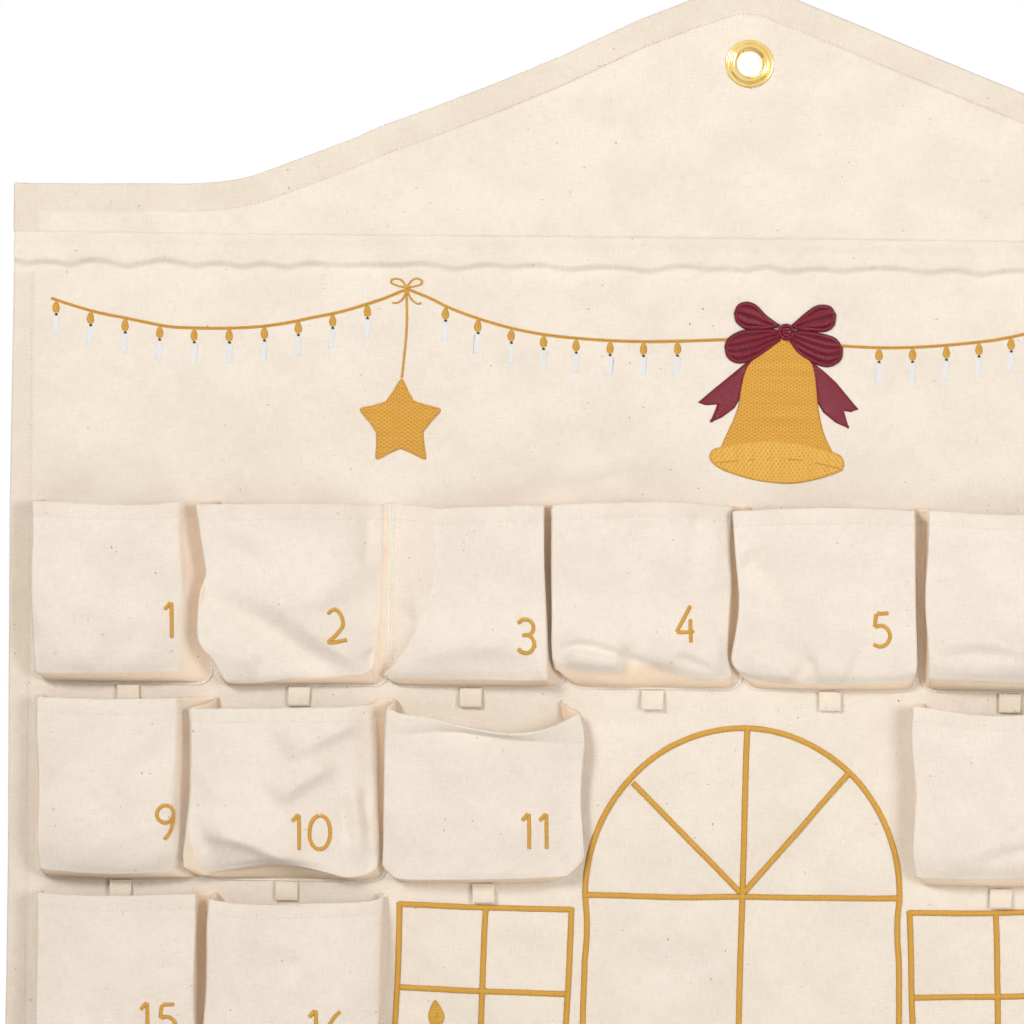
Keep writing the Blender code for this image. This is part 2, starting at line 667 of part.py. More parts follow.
def windows():
    """The arched window and the square window on each side of it, as satin-stitched bars."""
    front = FRONT - REST_GAP - THREAD
    bar, half = SATIN_WIDTH, SATIN_WIDTH / 2
    outer = POCKET_PITCH - ARCH_SIDE_GAP
    glass = outer - bar
    centre = (0, MOUTH_Z - ROW_PITCH - ARCH_TOP_GAP - outer)
    sill = MOUTH_Z - len(ROW_COLUMNS) * ROW_PITCH + ROW_GAP
    arch = [(-outer, sill), (outer, sill)]
    arch += arc(centre, outer, 0, math.radians(180), 3 * ARC_STEPS)
    quarter = math.radians(45)
    holes = [fan_pane(centre, glass, k * quarter, (k + 1) * quarter) for k in range(4)]
    middle = (centre[1] + sill) / 2
    for low, high in ((sill + bar, middle - half), (middle + half, centre[1] - half)):
        holes += [pane((half, low), (glass, high)), pane((-glass, low), (-half, high))]
    plate("arched_window", [arch, *holes], front, THREAD, gold)
    near = outer + WINDOW_ARCH_GAP
    far = 2 * POCKET_PITCH - WINDOW_POCKET_GAP
    top = MOUTH_Z - ROW_PITCH - POCKET_HEIGHT - LOOP_LENGTH - WINDOW_LOOP_GAP
    low = top - WINDOW_HEIGHT
    for name, side in (("square_window_left", -1), ("square_window_right", 1)):
        corners = pane((side * near, low), (side * far, top))
        cross = ((near + far) / 2, (low + top) / 2)
        holes = [
            pane((side * x0, z0), (side * x1, z1))
            for x0, x1 in ((near + bar, cross[0] - half), (cross[0] + half, far - bar))
            for z0, z1 in ((low + bar, cross[1] - half), (cross[1] + half, top - bar))
        ]
        plate(name, [corners, *holes], front, THREAD, gold)


clear_scene()
calendar = collection("advent calendar")
helpers = collection("helpers")
frame = bpy.data.objects.new("hanging_point", None)
calendar.objects.link(frame)

canvas = material("natural canvas", (0.86, 0.78, 0.67), 0.95)
gold = material("gold thread", (0.74, 0.45, 0.10), 0.45)
red = material("wine red thread", (0.28, 0.02, 0.06), 0.5)
brass = material("polished brass", (0.85, 0.62, 0.25), 0.2, 1.0)
wood = material("pale wood", (0.76, 0.58, 0.38), 0.6)

roof_panel()
body_panel()
rod_sleeve()
wooden_rod()
eyelet()
pockets_and_loops()
garland()
bell_and_bow()
windows()
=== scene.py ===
import math

import bmesh
import bpy
import numpy as np
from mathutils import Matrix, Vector
from mathutils.geometry import delaunay_2d_cdt


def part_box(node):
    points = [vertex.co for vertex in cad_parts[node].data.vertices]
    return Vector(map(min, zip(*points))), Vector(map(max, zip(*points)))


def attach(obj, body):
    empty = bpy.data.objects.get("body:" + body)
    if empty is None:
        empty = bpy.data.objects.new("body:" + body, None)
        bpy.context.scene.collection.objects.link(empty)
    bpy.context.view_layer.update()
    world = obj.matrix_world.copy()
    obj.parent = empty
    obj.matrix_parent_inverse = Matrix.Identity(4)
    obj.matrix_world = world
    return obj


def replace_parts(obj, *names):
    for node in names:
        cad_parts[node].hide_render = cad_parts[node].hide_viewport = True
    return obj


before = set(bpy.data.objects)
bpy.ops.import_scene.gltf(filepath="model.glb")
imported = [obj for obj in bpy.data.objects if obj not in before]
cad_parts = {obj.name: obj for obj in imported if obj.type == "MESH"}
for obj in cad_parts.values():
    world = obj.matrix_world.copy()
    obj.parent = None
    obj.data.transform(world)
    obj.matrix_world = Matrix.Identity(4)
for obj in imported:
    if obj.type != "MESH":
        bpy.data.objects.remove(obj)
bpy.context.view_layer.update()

MM = 0.001

# Sizes that the source also has, in millimetres
FRONT, BACK, GAP = -0.7, 0.7, 0.3
HALF_WIDTH, SEAM_Z, ROD_Z = 440.0, -105.0, -115.5
BOTTOM_Z, MOUTH_Z = -754.7, -265.7
PITCH, ROW_PITCH, POCKET_W, POCKET_H = 106.0, 117.0, 105.0, 110.0
ROW_COLUMNS = ((0, 1, 2, 3, 4, 5, 6, 7), (0, 1, 2, 5, 6, 7), (0, 1, 6, 7), (0, 1, 2, 5, 6, 7))
CORNER = 9.0
STITCH = 2.6

# The camera, 3 m in front of the canvas
CAM_X, CAM_Z, CAM_AWAY = -139.7, -270.3, 3000.0
MM_PER_PIXEL, EYE_X, EYE_Y, ROLL = 0.6, 749.5, 64.0, 0.0105


def seen(px, py, depth=0.0):
    """X and Z in millimetres of what is seen at a place of the photograph, depth in front of y = 0."""
    x, z = (px - EYE_X) * MM_PER_PIXEL, (EYE_Y - py) * MM_PER_PIXEL
    x, z = x - ROLL * z, z + ROLL * x
    near = (CAM_AWAY - depth) / CAM_AWAY
    return CAM_X + (x - CAM_X) * near, CAM_Z + (z - CAM_Z) * near


# Numbers and curves

def catmull(points, count):
    """A smooth curve through the points, sampled at equal steps of its length."""
    p = np.asarray(points, float)
    if len(p) == 2:
        return p[0] + (p[1] - p[0]) * np.linspace(0, 1, count)[:, None]
    ext = np.vstack([2 * p[0] - p[1], p, 2 * p[-1] - p[-2]])
    out = []
    t = np.linspace(0, 1, 24, endpoint=False)[:, None]
    for a, b, c, d in zip(ext, ext[1:], ext[2:], ext[3:]):
        out.append(0.5 * (2 * b + (c - a) * t + (2 * a - 5 * b + 4 * c - d) * t ** 2
                          + (3 * b - a - 3 * c + d) * t ** 3))
    out.append(p[-1][None])
    return even(np.vstack(out), count)


def run_along(line):
    """How far along a line each of its points is."""
    return np.concatenate([[0], np.cumsum(np.linalg.norm(np.diff(line, axis=0), axis=1))])


def outward_of(line):
    """The way out from each point of a profile, square to its course."""
    tangent = np.gradient(line, axis=0)
    out = np.stack([tangent[:, 1], -tangent[:, 0]], 1)
    return out / np.linalg.norm(out, axis=1, keepdims=True)


def even(line, count):
    """The same line with count points at equal steps of its length."""
    run = run_along(line)
    at = np.linspace(0, run[-1], count)
    return np.stack([np.interp(at, run, line[:, k]) for k in range(line.shape[1])], 1)


def length(line):
    return float(np.linalg.norm(np.diff(np.asarray(line, float), axis=0), axis=1).sum())


def smooth(t):
    t = np.clip(t, 0, 1)
    return t * t * (3 - 2 * t)


def wave(x, z, seed, size, octaves=3):
    """A smooth repeatable ripple between about -1 and 1, of waves about size across."""
    made = np.zeros(np.broadcast(x, z).shape)
    gen = np.random.default_rng(seed)
    for octave in range(octaves):
        for _ in range(5):
            angle, phase = gen.uniform(0, 2 * math.pi, 2)
            k = 2 * math.pi / (size / 1.7 ** octave * gen.uniform(0.75, 1.4))
            made += np.sin(k * (x * math.cos(angle) + z * math.sin(angle)) + phase) / (2.2 * 1.7 ** octave)
    return made / 2.4


def edge_distance(points, outline, closed=True):
    """How far each point is from an outline."""
    a, b = outline, np.roll(outline, -1, axis=0)
    if not closed:
        a, b = outline[:-1], outline[1:]
    ab = b - a
    out = np.full(len(points), 1e9)
    for k in range(len(a)):
        t = np.clip(((points - a[k]) @ ab[k]) / (ab[k] @ ab[k] + 1e-12), 0, 1)
        out = np.minimum(out, np.linalg.norm(points - a[k] - t[:, None] * ab[k], axis=1))
    return out


# The canvas panels' front face

def ridge(x, z):
    """How far the cloth stands forward over the rod, in millimetres, with the wrinkles of its lower edge."""
    up = np.clip(1 - (z - ROD_Z) / 10.5, 0, 1)
    turn = math.pi * x / 37 + 1.1 * np.sin(x / 57) + 0.7 * np.sin(x / 23)
    droop = 2.6 * (np.abs(np.sin(turn)) - 0.55) + 0.7 * np.sin(x / 11 + 2 * np.sin(x / 31))
    down = 1 - smooth((ROD_Z - z - 5.6 + droop) / 4.6)
    rise = 4.0 * np.where(z > ROD_Z, np.sin(up * math.pi / 2) ** 2, down)
    lean = x + 1.5 * (z - ROD_Z + 8)
    turn = math.pi * lean / 37 + 1.1 * np.sin(lean / 57) + 0.7 * np.sin(lean / 23)
    wrinkle = np.abs(np.cos(turn)) ** 8 * np.exp(-((z - ROD_Z + 4.5) / 5.5) ** 2)
    ripple = np.sin(lean / 5.3 + 2.2 * np.sin(lean / 19)) * np.exp(-((z - ROD_Z + 8) / 4.0) ** 2)
    return rise - 1.0 * wrinkle * np.clip(rise / 2, 0, 1) + 0.22 * ripple


# Soft creases of the hanging cloth: how far each lifts it in millimetres, its width on the left and
# the right of its course, and its course in pixels of the photograph.
CREASES = (
    (-1.5, 6, 7, ((709, 407), (689, 410), (648, 424), (607, 444), (580, 458))),
    (1.2, 8, 10, ((716, 428), (680, 436), (640, 452), (610, 470))),
    (-1.6, 6, 6, ((525, 475), (552, 487), (587, 484), (614, 476), (640, 462))),
    (-1.1, 8, 8, ((481, 417), (525, 396), (573, 379), (607, 372))),
    (-0.55, 2.2, 2.2, ((474, 308), (471, 350), (470, 393), (466, 440), (465, 492))),
    (1.0, 16, 12, ((478, 320), (520, 350), (570, 362), (640, 372))),
    (-1.0, 12, 9, ((180, 330), (230, 362), (290, 372), (340, 360))),
    (-0.9, 10, 10, ((300, 400), (330, 440), (350, 480))),
    (-0.8, 9, 9, ((660, 300), (690, 340), (712, 380))),
    (-0.9, 5, 7, ((443, 164), (456, 190), (470, 214))),
    (-1.0, 6, 8, ((607, 225), (634, 196), (675, 180), (715, 172))),
    (-0.9, 9, 7, ((757, 137), (805, 133), (853, 128))),
    (0.9, 8, 8, ((752, 155), (800, 160), (853, 158))),
    (-1.0, 5, 5, ((722, 24), (736, 19), (752, 18), (768, 20), (780, 26))),
    (-0.7, 1.6, 1.6, ((341, 138), (343, 150), (344, 162))),
    (-1.0, 7, 6, ((610, 905), (640, 950), (690, 985), (735, 990))),
    (-0.9, 6, 6, ((760, 930), (800, 960), (853, 972))),
    (-0.9, 6, 8, ((640, 815), (670, 850), (690, 885))),
    (0.8, 8, 8, ((770, 780), (790, 820), (800, 870))),
    (-1.2, 7, 7, ((560, 712), (600, 722), (650, 724), (700, 716))),
    (-0.8, 7, 7, ((412, 925), (440, 950), (474, 965))),
    (-0.8, 6, 6, ((497, 930), (530, 955), (556, 962))),
)


def lifted(x, z, amount, left_width, right_width, line, ends=0.28):
    """How far a fold along a line of X and Z lifts the cloth at X and Z."""
    a, b = line[:-1], line[1:]
    p = np.stack([x.ravel(), z.ravel()], 1)
    made = np.zeros(len(p))
    reach = 3.0 * max(left_width, right_width)
    near = ((p > line.min(0) - reach) & (p < line.max(0) + reach)).all(1)
    if not near.any():
        return made.reshape(x.shape)
    p = p[near]
    ab = b - a
    t = np.clip(((p[:, None] - a[None]) * ab[None]).sum(-1) / ((ab ** 2).sum(-1)[None] + 1e-9), 0, 1)
    off = p[:, None] - (a[None] + t[..., None] * ab[None])
    away = np.linalg.norm(off, axis=-1)
    k = away.argmin(1)
    n = np.arange(len(p))
    side = ab[k, 0] * off[n, k, 1] - ab[k, 1] * off[n, k, 0]
    width = np.where(side > 0, left_width, right_width)
    place = (k + t[n, k]) / len(a)
    taper = smooth(np.minimum(place, 1 - place) / ends + 0.12)
    made[near] = amount * taper * np.exp(-(away[n, k] / width) ** 1.6)
    return made.reshape(x.shape)


CREASE_LINES = [(*crease[:3], catmull([seen(*p) for p in crease[3]], 20)) for crease in CREASES]


def panel_y(x, z):
    """Y in millimetres of the panels' front face."""
    x, z = np.broadcast_arrays(np.asarray(x, float), np.asarray(z, float))
    calm = 1 - np.exp(-((x / 55) ** 2 + (z / 45) ** 2))
    calm = calm * (1 - 0.75 * np.exp(-((z - ROD_Z) / 14) ** 2))
    low = np.clip((z - BOTTOM_Z) / 60, 0.35, 1)
    drape = 1.3 * wave(x, z, 5, 165) + 0.65 * wave(x * 0.6 + z * 0.25, z * 1.2, 9, 62) + 0.22 * wave(x, z,
            14, 26, 2)
    for crease in CREASE_LINES:
        drape = drape + lifted(x, z, *crease)
    pucker = 0.25 * np.sin(x * 2 * math.pi / 31 + 2 * np.sin(x / 67)) * np.exp(-((z + 135) / 9) ** 2)
    gather = 0.12 * np.sin(x * 2 * math.pi / 43 + 1.3 * np.sin(x / 51))
    pucker = pucker + gather * np.exp(-((z - SEAM_Z - 9) / 9) ** 2)
    seam = (0.16 + 0.25 * smooth((-290 - x) / 90)) * np.exp(-((z - SEAM_Z) / 0.8) ** 2)
    return FRONT - ridge(x, z) - (drape * low + pucker) * calm + seam


# Meshes

def make(name, verts, faces, material, uv=None, values=None, body="calendar", slot="canvas", flat=False):
    """An object from vertices in millimetres and arrays of faces, riding on a body."""
    mesh = bpy.data.meshes.new(name)
    verts = np.asarray(verts, np.float64) * MM
    loops = np.concatenate([np.asarray(f, np.int32).ravel() for f in faces])
    sides = np.concatenate([np.full(len(f), np.asarray(f).shape[1], np.int32) for f in faces])
    mesh.vertices.add(len(verts))
    mesh.vertices.foreach_set("co", verts.astype(np.float32).ravel())
    mesh.loops.add(len(loops))
    mesh.loops.foreach_set("vertex_index", loops)
    mesh.polygons.add(len(sides))
    mesh.polygons.foreach_set("loop_start", np.concatenate([[0], np.cumsum(sides)[:-1]]).astype(np.int32))
    mesh.update(calc_edges=True)
    if uv is not None:
        layer = mesh.uv_layers.new(name="UVMap")
        layer.data.foreach_set("uv", np.asarray(uv, np.float32)[loops].ravel())
    for key, value in (values or {}).items():
        mesh.attributes.new(key, "FLOAT", "POINT").data.foreach_set("value", np.asarray(value, np.float32))
    mesh.materials.append(material)
    mesh.polygons.foreach_set("use_smooth", np.full(len(sides), not flat, bool))
    mesh.validate()
    obj = bpy.data.objects.new(name, mesh)
    bpy.context.scene.collection.objects.link(obj)
    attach(obj, body)
    return obj


def quads_of(grid):
    """Faces between the neighbours in a grid of vertex numbers."""
    corners = [grid[:-1, :-1], grid[:-1, 1:], grid[1:, 1:], grid[1:, :-1]]
    return np.stack(corners, -1).reshape(-1, 4)


def grid_faces(rows, columns, start=0, flip=False, closed=False):
    """Faces of a grid of vertices that are numbered row by row."""
    index = np.arange(rows * columns).reshape(rows, columns) + start
    if closed:
        index = np.hstack([index, index[:, :1]])
    q = quads_of(index)
    return q[:, ::-1] if flip else q


class Heap:
    """Gathers pieces of mesh to make one object of."""

    def __init__(self):
        self.verts, self.quads, self.tris, self.uv, self.shade, self.count = [], [], [], [], [], 0

    def add(self, verts, quads=None, tris=None, uv=None, shade=None):
        verts = np.asarray(verts, float).reshape(-1, 3)
        if quads is not None and len(quads):
            self.quads.append(np.asarray(quads) + self.count)
        if tris is not None and len(tris):
            self.tris.append(np.asarray(tris) + self.count)
        self.verts.append(verts)
        self.uv.append(np.zeros((len(verts), 2)) if uv is None else np.asarray(uv, float).reshape(-1, 2))
        self.shade.append(np.zeros(len(verts)) if shade is None else np.broadcast_to(shade, len(verts)))
        self.count += len(verts)

    def build(self, name, material, **more):
        faces = []
        if self.quads:
            faces.append(np.vstack(self.quads))
        if self.tris:
            faces.append(np.vstack(self.tris))
        return make(name, np.vstack(self.verts), faces, material, uv=np.vstack(self.uv),
                    values={"shade": np.concatenate(self.shade)}, **more)


# Materials

def node_material(name):
    material = bpy.data.materials.new(name)
    material.use_nodes = True
    tree = material.node_tree
    shader = tree.nodes["Principled BSDF"]
    return material, tree, shader


class Nodes:
    """Short names for making shader nodes."""

    def __init__(self, tree):
        self.tree = tree

    def link(self, out, to):
        self.tree.links.new(out, to)

    def put(self, socket, value):
        if isinstance(value, bpy.types.NodeSocket):
            self.link(value, socket)
        else:
            socket.default_value = value

    def math(self, operation, *values, clamp=False):
        node = self.tree.nodes.new("ShaderNodeMath")
        node.operation = operation
        node.use_clamp = clamp
        for socket, value in zip(node.inputs, values):
            self.put(socket, value)
        return node.outputs[0]

    def uv(self):
        node = self.tree.nodes.new("ShaderNodeTexCoord")
        return node.outputs["UV"]

    def split(self, vector):
        node = self.tree.nodes.new("ShaderNodeSeparateXYZ")
        self.link(vector, node.inputs[0])
        return node.outputs[0], node.outputs[1]

    def scaled(self, vector, sx, sy, ox=0.0, oy=0.0, sz=1.0):
        node = self.tree.nodes.new("ShaderNodeMapping")
        self.link(vector, node.inputs["Vector"])
        node.inputs["Scale"].default_value = (sx, sy, sz)
        node.inputs["Location"].default_value = (ox, oy, 0)
        return node.outputs[0]

    def noise(self, vector, scale, detail=2.0, rough=0.5):
        node = self.tree.nodes.new("ShaderNodeTexNoise")
        self.link(vector, node.inputs["Vector"])
        node.inputs["Scale"].default_value = scale
        node.inputs["Detail"].default_value = detail
        node.inputs["Roughness"].default_value = rough
        return node.outputs["Fac"]

    def voronoi(self, vector, scale, randomness=1.0):
        node = self.tree.nodes.new("ShaderNodeTexVoronoi")
        self.link(vector, node.inputs["Vector"])
        node.inputs["Scale"].default_value = scale
        node.inputs["Randomness"].default_value = randomness
        return node.outputs["Distance"], node.outputs["Color"]

    def ramp(self, value, low, high, to_low=0.0, to_high=1.0):
        node = self.tree.nodes.new("ShaderNodeMapRange")
        node.clamp = True
        node.interpolation_type = "SMOOTHSTEP"
        values = {"Value": value, "From Min": low, "From Max": high, "To Min": to_low, "To Max": to_high}
        for name, v in values.items():
            self.put(node.inputs[name], v)
        return node.outputs[0]

    def mix(self, share, a, b):
        node = self.tree.nodes.new("ShaderNodeMix")
        node.data_type = "RGBA"
        self.put(node.inputs[0], share)
        self.put(node.inputs[6], a)
        self.put(node.inputs[7], b)
        return node.outputs[2]

    def times(self, a, b):
        node = self.tree.nodes.new("ShaderNodeMix")
        node.data_type = "RGBA"
        node.blend_type = "MULTIPLY"
        node.inputs[0].default_value = 1.0
        self.put(node.inputs[6], a)
        self.put(node.inputs[7], b)
        return node.outputs[2]

    def attribute(self, name):
        node = self.tree.nodes.new("ShaderNodeAttribute")
        node.attribute_name = name
        return node.outputs["Fac"]

    def bump(self, height, distance, strength=1.0, normal=None):
        node = self.tree.nodes.new("ShaderNodeBump")
        self.link(height, node.inputs["Height"])
        node.inputs["Distance"].default_value = distance
        node.inputs["Strength"].default_value = strength
        if normal is not None:
            self.link(normal, node.inputs["Normal"])
        return node.outputs[0]


def rgb(r, g, b):
    """A colour written as 0 to 255, as the shader wants it."""
    def lin(c):
        c /= 255
        return c / 12.92 if c <= 0.04045 else ((c + 0.055) / 1.055) ** 2.4
    return (lin(r), lin(g), lin(b), 1.0)


def canvas_material(name, base, warm, offset=0.0):
    """Unbleached cotton canvas: a plain weave with slubs, seed flecks and faint cloudiness.

    UV is in millimetres.
    """
    material, tree, shader = node_material(name)
    n = Nodes(tree)
    uv = n.scaled(n.uv(), 1, 1, offset, offset * 0.7)
    wobble = n.noise(n.scaled(uv, 0.05, 0.05), 3.0, 2)
    u, v = n.split(uv)
    u = n.math("ADD", u, n.math("MULTIPLY", wobble, 2.0))
    v = n.math("ADD", v, n.math("MULTIPLY", wobble, 1.5))
    warp = n.math("SINE", n.math("MULTIPLY", u, math.pi / 0.56))
    weft = n.math("SINE", n.math("MULTIPLY", v, math.pi / 0.62))
    weave = n.math("MULTIPLY", warp, weft)
    slub_u = n.noise(n.scaled(uv, 0.12, 1.7), 1.0, 3, 0.65)
    slub_v = n.noise(n.scaled(uv, 1.7, 0.11), 1.0, 3, 0.65)
    slubs = n.math("ADD", slub_u, slub_v)
    short_u = n.noise(n.scaled(uv, 0.35, 2.4), 1.0, 2, 0.6)
    short_v = n.noise(n.scaled(uv, 2.4, 0.35, 5.0, 9.0), 1.0, 2, 0.6)
    cloud = n.noise(n.scaled(uv, 0.022, 0.026), 1.0, 4, 0.6)
    colour = n.mix(n.ramp(cloud, 0.36, 0.64), base, warm)
    colour = n.mix(n.ramp(slubs, 0.98, 1.26, 0.0, 0.30), colour, rgb(219, 197, 166))
    colour = n.mix(n.ramp(slubs, 0.98, 0.72, 0.0, 0.30), colour, rgb(255, 250, 240))
    colour = n.mix(n.ramp(short_u, 0.55, 0.72, 0.0, 0.26), colour, rgb(222, 202, 174))
    colour = n.mix(n.ramp(short_v, 0.55, 0.72, 0.0, 0.26), colour, rgb(255, 249, 238))
    # Painted shade: the weave's dips are coloured darker.
    dips = n.ramp(weave, 0.1, -0.9)
    colour = n.mix(n.math("MULTIPLY", dips, 0.18), colour, rgb(205, 182, 150))
    # Seed flecks: big dark ones far apart, and small pale brown ones between them.
    flecks = ((1.0, 0.6, 8.5, 0.55, 0.055, rgb(132, 98, 68), 0.75, 0.0),
              (0.6, 1.0, 5.0, 0.45, 0.085, rgb(170, 132, 92), 0.60, 31.7),
              (1.0, 0.7, 3.4, 0.50, 0.090, rgb(188, 154, 116), 0.55, 53.1))
    for wide, tall, cell, least, size, tint, share, dx in flecks:
        near, tone = n.voronoi(n.scaled(uv, wide, tall, dx, dx * 0.6), 1.0 / cell)
        fleck = n.math("LESS_THAN", near, n.ramp(n.split(tone)[0], least, 1.0, 0.0, size))
        colour = n.mix(n.math("MULTIPLY", fleck, share), colour, tint)
    # Painted shade: doubled cloth is coloured a little darker, standing in for the light that shows through
    # single cloth, and cloth deep between the pockets warmer and darker, standing in for the shade and the
    # warm bounce there.
    colour = n.mix(n.attribute("doubled_cloth_painted_shade"), colour, n.times(colour, (0.95, 0.94, 0.92, 1.0)))
    colour = n.mix(n.attribute("deep"), colour, n.times(colour, (1.04, 0.89, 0.73, 1.0)))
    tree.links.new(colour, shader.inputs["Base Color"])
    tree.links.new(n.ramp(slubs, 0.8, 1.2, 0.95, 0.86), shader.inputs["Roughness"])
    shader.inputs["Sheen Weight"].default_value = 0.08
    shader.inputs["Sheen Roughness"].default_value = 0.6
    shader.inputs["Specular IOR Level"].default_value = 0.25
    height = n.math("ADD", n.math("MULTIPLY", weave, 0.5), n.math("MULTIPLY", slubs, 1.8))
    height = n.math("ADD", height, n.math("MULTIPLY", n.math("ADD", short_u, short_v), 0.8))
    tree.links.new(n.bump(height, 0.0001, 0.8), shader.inputs["Normal"])
    return material


def thread_material(name, colour, light, dark, pitch=0.42, rough=0.42, sheen=0.15, spots=None):
    """Satin embroidery thread.

    U runs across the threads' direction of travel and V along the stroke, both in millimetres.
    """
    material, tree, shader = node_material(name)
    n = Nodes(tree)
    uv = n.uv()
    u, v = n.split(uv)
    jitter = n.noise(n.scaled(uv, 0.35, 0.8), 1.0, 2)
    lay = n.math("ADD", n.math("ADD", v, n.math("MULTIPLY", u, 0.28)), n.math("MULTIPLY", jitter, 0.5))
    saw = n.math("SINE", n.math("MULTIPLY", lay, 2 * math.pi / pitch))
    each = n.noise(n.scaled(uv, 0.02, 1.0 / pitch * 0.9), 1.0, 1)
    base = n.mix(n.ramp(each, 0.35, 0.65), colour, light)
    # Painted shade: the gaps between the threads, and the bands' edges by the shade attribute, are coloured
    # darker; the attribute also carries a darker tone of some threads.
    gaps = n.ramp(saw, -0.35, -1.0)
    base = n.mix(n.math("MULTIPLY", gaps, 0.45), base, dark)
    base = n.mix(n.attribute("shade"), base, dark)
    height = saw
    if spots:
        across, along = spots
        row = n.math("DIVIDE", u, across)
        odd = n.math("MODULO", n.math("FLOOR", row), 2.0)
        fx = n.math("SUBTRACT", n.math("FRACT", row), 0.5)
        fz = n.math("FRACT", n.math("ADD", n.math("DIVIDE", v, along),
                                    n.math("MULTIPLY", n.math("ABSOLUTE", odd), 0.5)))
        fz = n.math("SUBTRACT", fz, 0.5)
        away = n.math("SQRT", n.math("ADD", n.math("POWER", n.math("MULTIPLY", fx, across), 2.0),
                                     n.math("POWER", n.math("MULTIPLY", fz, along * 0.8), 2.0)))
        dot = n.ramp(away, 0.62, 0.12)
        line = n.ramp(n.math("ABSOLUTE", fx), 0.36, 0.5)
        # Painted shade: the fill's dimples and the lines between its columns are coloured darker.
        base = n.mix(n.math("MULTIPLY", dot, 0.60), base, dark)
        base = n.mix(n.math("MULTIPLY", line, 0.16), base, dark)
        height = n.math("SUBTRACT", n.math("MULTIPLY", saw, 0.3),
                        n.math("ADD", n.math("MULTIPLY", dot, 2.4), n.math("MULTIPLY", line, 0.9)))
    tree.links.new(base, shader.inputs["Base Color"])
    tree.links.new(n.ramp(each, 0.2, 0.8, rough - 0.06, rough + 0.12), shader.inputs["Roughness"])
    shader.inputs["Sheen Weight"].default_value = sheen
    shader.inputs["Sheen Roughness"].default_value = 0.4
    shader.inputs["Specular IOR Level"].default_value = 0.45
    tree.links.new(n.bump(height, 0.00012, 0.8), shader.inputs["Normal"])
    return material


canvas = canvas_material("unbleached_canvas", rgb(241, 229, 214), rgb(247, 236, 221))
pocket_canvas = canvas_material("pocket_canvas", rgb(242, 230, 216), rgb(248, 237, 223), 37.0)
tape = canvas_material("tape_canvas", rgb(241, 227, 208), rgb(247, 235, 216), 71.0)
gold = thread_material("gold_satin", rgb(240, 174, 56), rgb(254, 202, 90), rgb(162, 96, 14), 0.42, 0.36)
gold_fill = thread_material("gold_fill", rgb(229, 166, 54), rgb(241, 182, 72), rgb(150, 92, 18), 0.40, 0.5,
                            0.15, (1.8, 2.2))
gold_rim = thread_material("gold_rim", rgb(238, 180, 66), rgb(247, 194, 88), rgb(168, 108, 24), 0.44, 0.45,
                           0.15, (1.9, 2.6))
star_fill = thread_material("gold_star_fill", rgb(226, 163, 52), rgb(240, 181, 72), rgb(146, 90, 18), 0.40,
                            0.48, 0.15, (1.8, 2.4))
wine = thread_material("wine_satin", rgb(128, 8, 34), rgb(156, 22, 52), rgb(46, 2, 12), 0.5, 0.06, 0.0)
white_satin = thread_material("white_satin", rgb(255, 254, 250), rgb(255, 255, 254), rgb(244, 242, 236),
                              0.5, 0.5, 0.1)
black_thread = thread_material("black_thread", rgb(38, 30, 26), rgb(60, 50, 44), rgb(12, 10, 10), 0.4, 0.5,
                               0.05)


def sewing_material():
    material, tree, shader = node_material("sewing_thread")
    n = Nodes(tree)
    shade = n.attribute("shade")
    fuzz = n.noise(n.scaled(n.uv(), 1.0, 1.0), 1.3, 2)
    base = n.mix(n.ramp(fuzz, 0.3, 0.7), rgb(238, 224, 202), rgb(250, 240, 224))
    # Painted shade: the needle holes are coloured dark.
    base = n.mix(shade, base, rgb(186, 158, 124))
    tree.links.new(base, shader.inputs["Base Color"])
    shader.inputs["Roughness"].default_value = 0.7
    shader.inputs["Specular IOR Level"].default_value = 0.3
    tree.links.new(n.bump(fuzz, 0.00008, 0.5), shader.inputs["Normal"])
    return material


def brass_material():
    material, tree, shader = node_material("polished_brass")
    n = Nodes(tree)
    node = tree.nodes.new("ShaderNodeTexCoord")
    spin = n.noise(n.scaled(node.outputs["Object"], 900, 900), 1.0, 3)
    cloud = n.noise(n.scaled(node.outputs["Object"], 160, 160), 1.0, 3)
    base = n.mix(n.ramp(cloud, 0.35, 0.7), rgb(246, 218, 146), rgb(238, 204, 122))
    tree.links.new(base, shader.inputs["Base Color"])
    shader.inputs["Metallic"].default_value = 1.0
    tree.links.new(n.ramp(cloud, 0.3, 0.75, 0.10, 0.18), shader.inputs["Roughness"])
    tree.links.new(n.bump(spin, 0.000012, 0.35), shader.inputs["Normal"])
    return material


def wood_material():
    material, tree, shader = node_material("pale_beech")
    n = Nodes(tree)
    node = tree.nodes.new("ShaderNodeTexCoord")
    place = node.outputs["Object"]
    grain = n.noise(n.scaled(place, 12, 420, sz=420), 1.0, 5, 0.6)
    pore = n.noise(n.scaled(place, 160, 2600, sz=2600), 1.0, 2)
    base = n.mix(n.ramp(grain, 0.3, 0.7), rgb(224, 194, 150), rgb(198, 160, 112))
    base = n.mix(n.ramp(pore, 0.62, 0.75, 0.0, 0.4), base, rgb(150, 110, 70))
    tree.links.new(base, shader.inputs["Base Color"])
    tree.links.new(n.ramp(grain, 0.3, 0.7, 0.5, 0.66), shader.inputs["Roughness"])
    tree.links.new(n.bump(n.math("ADD", grain, pore), 0.00008, 0.5), shader.inputs["Normal"])
    return material


sewing, brass, wood = sewing_material(), brass_material(), wood_material()

# Sewn stitches

stitches = {}


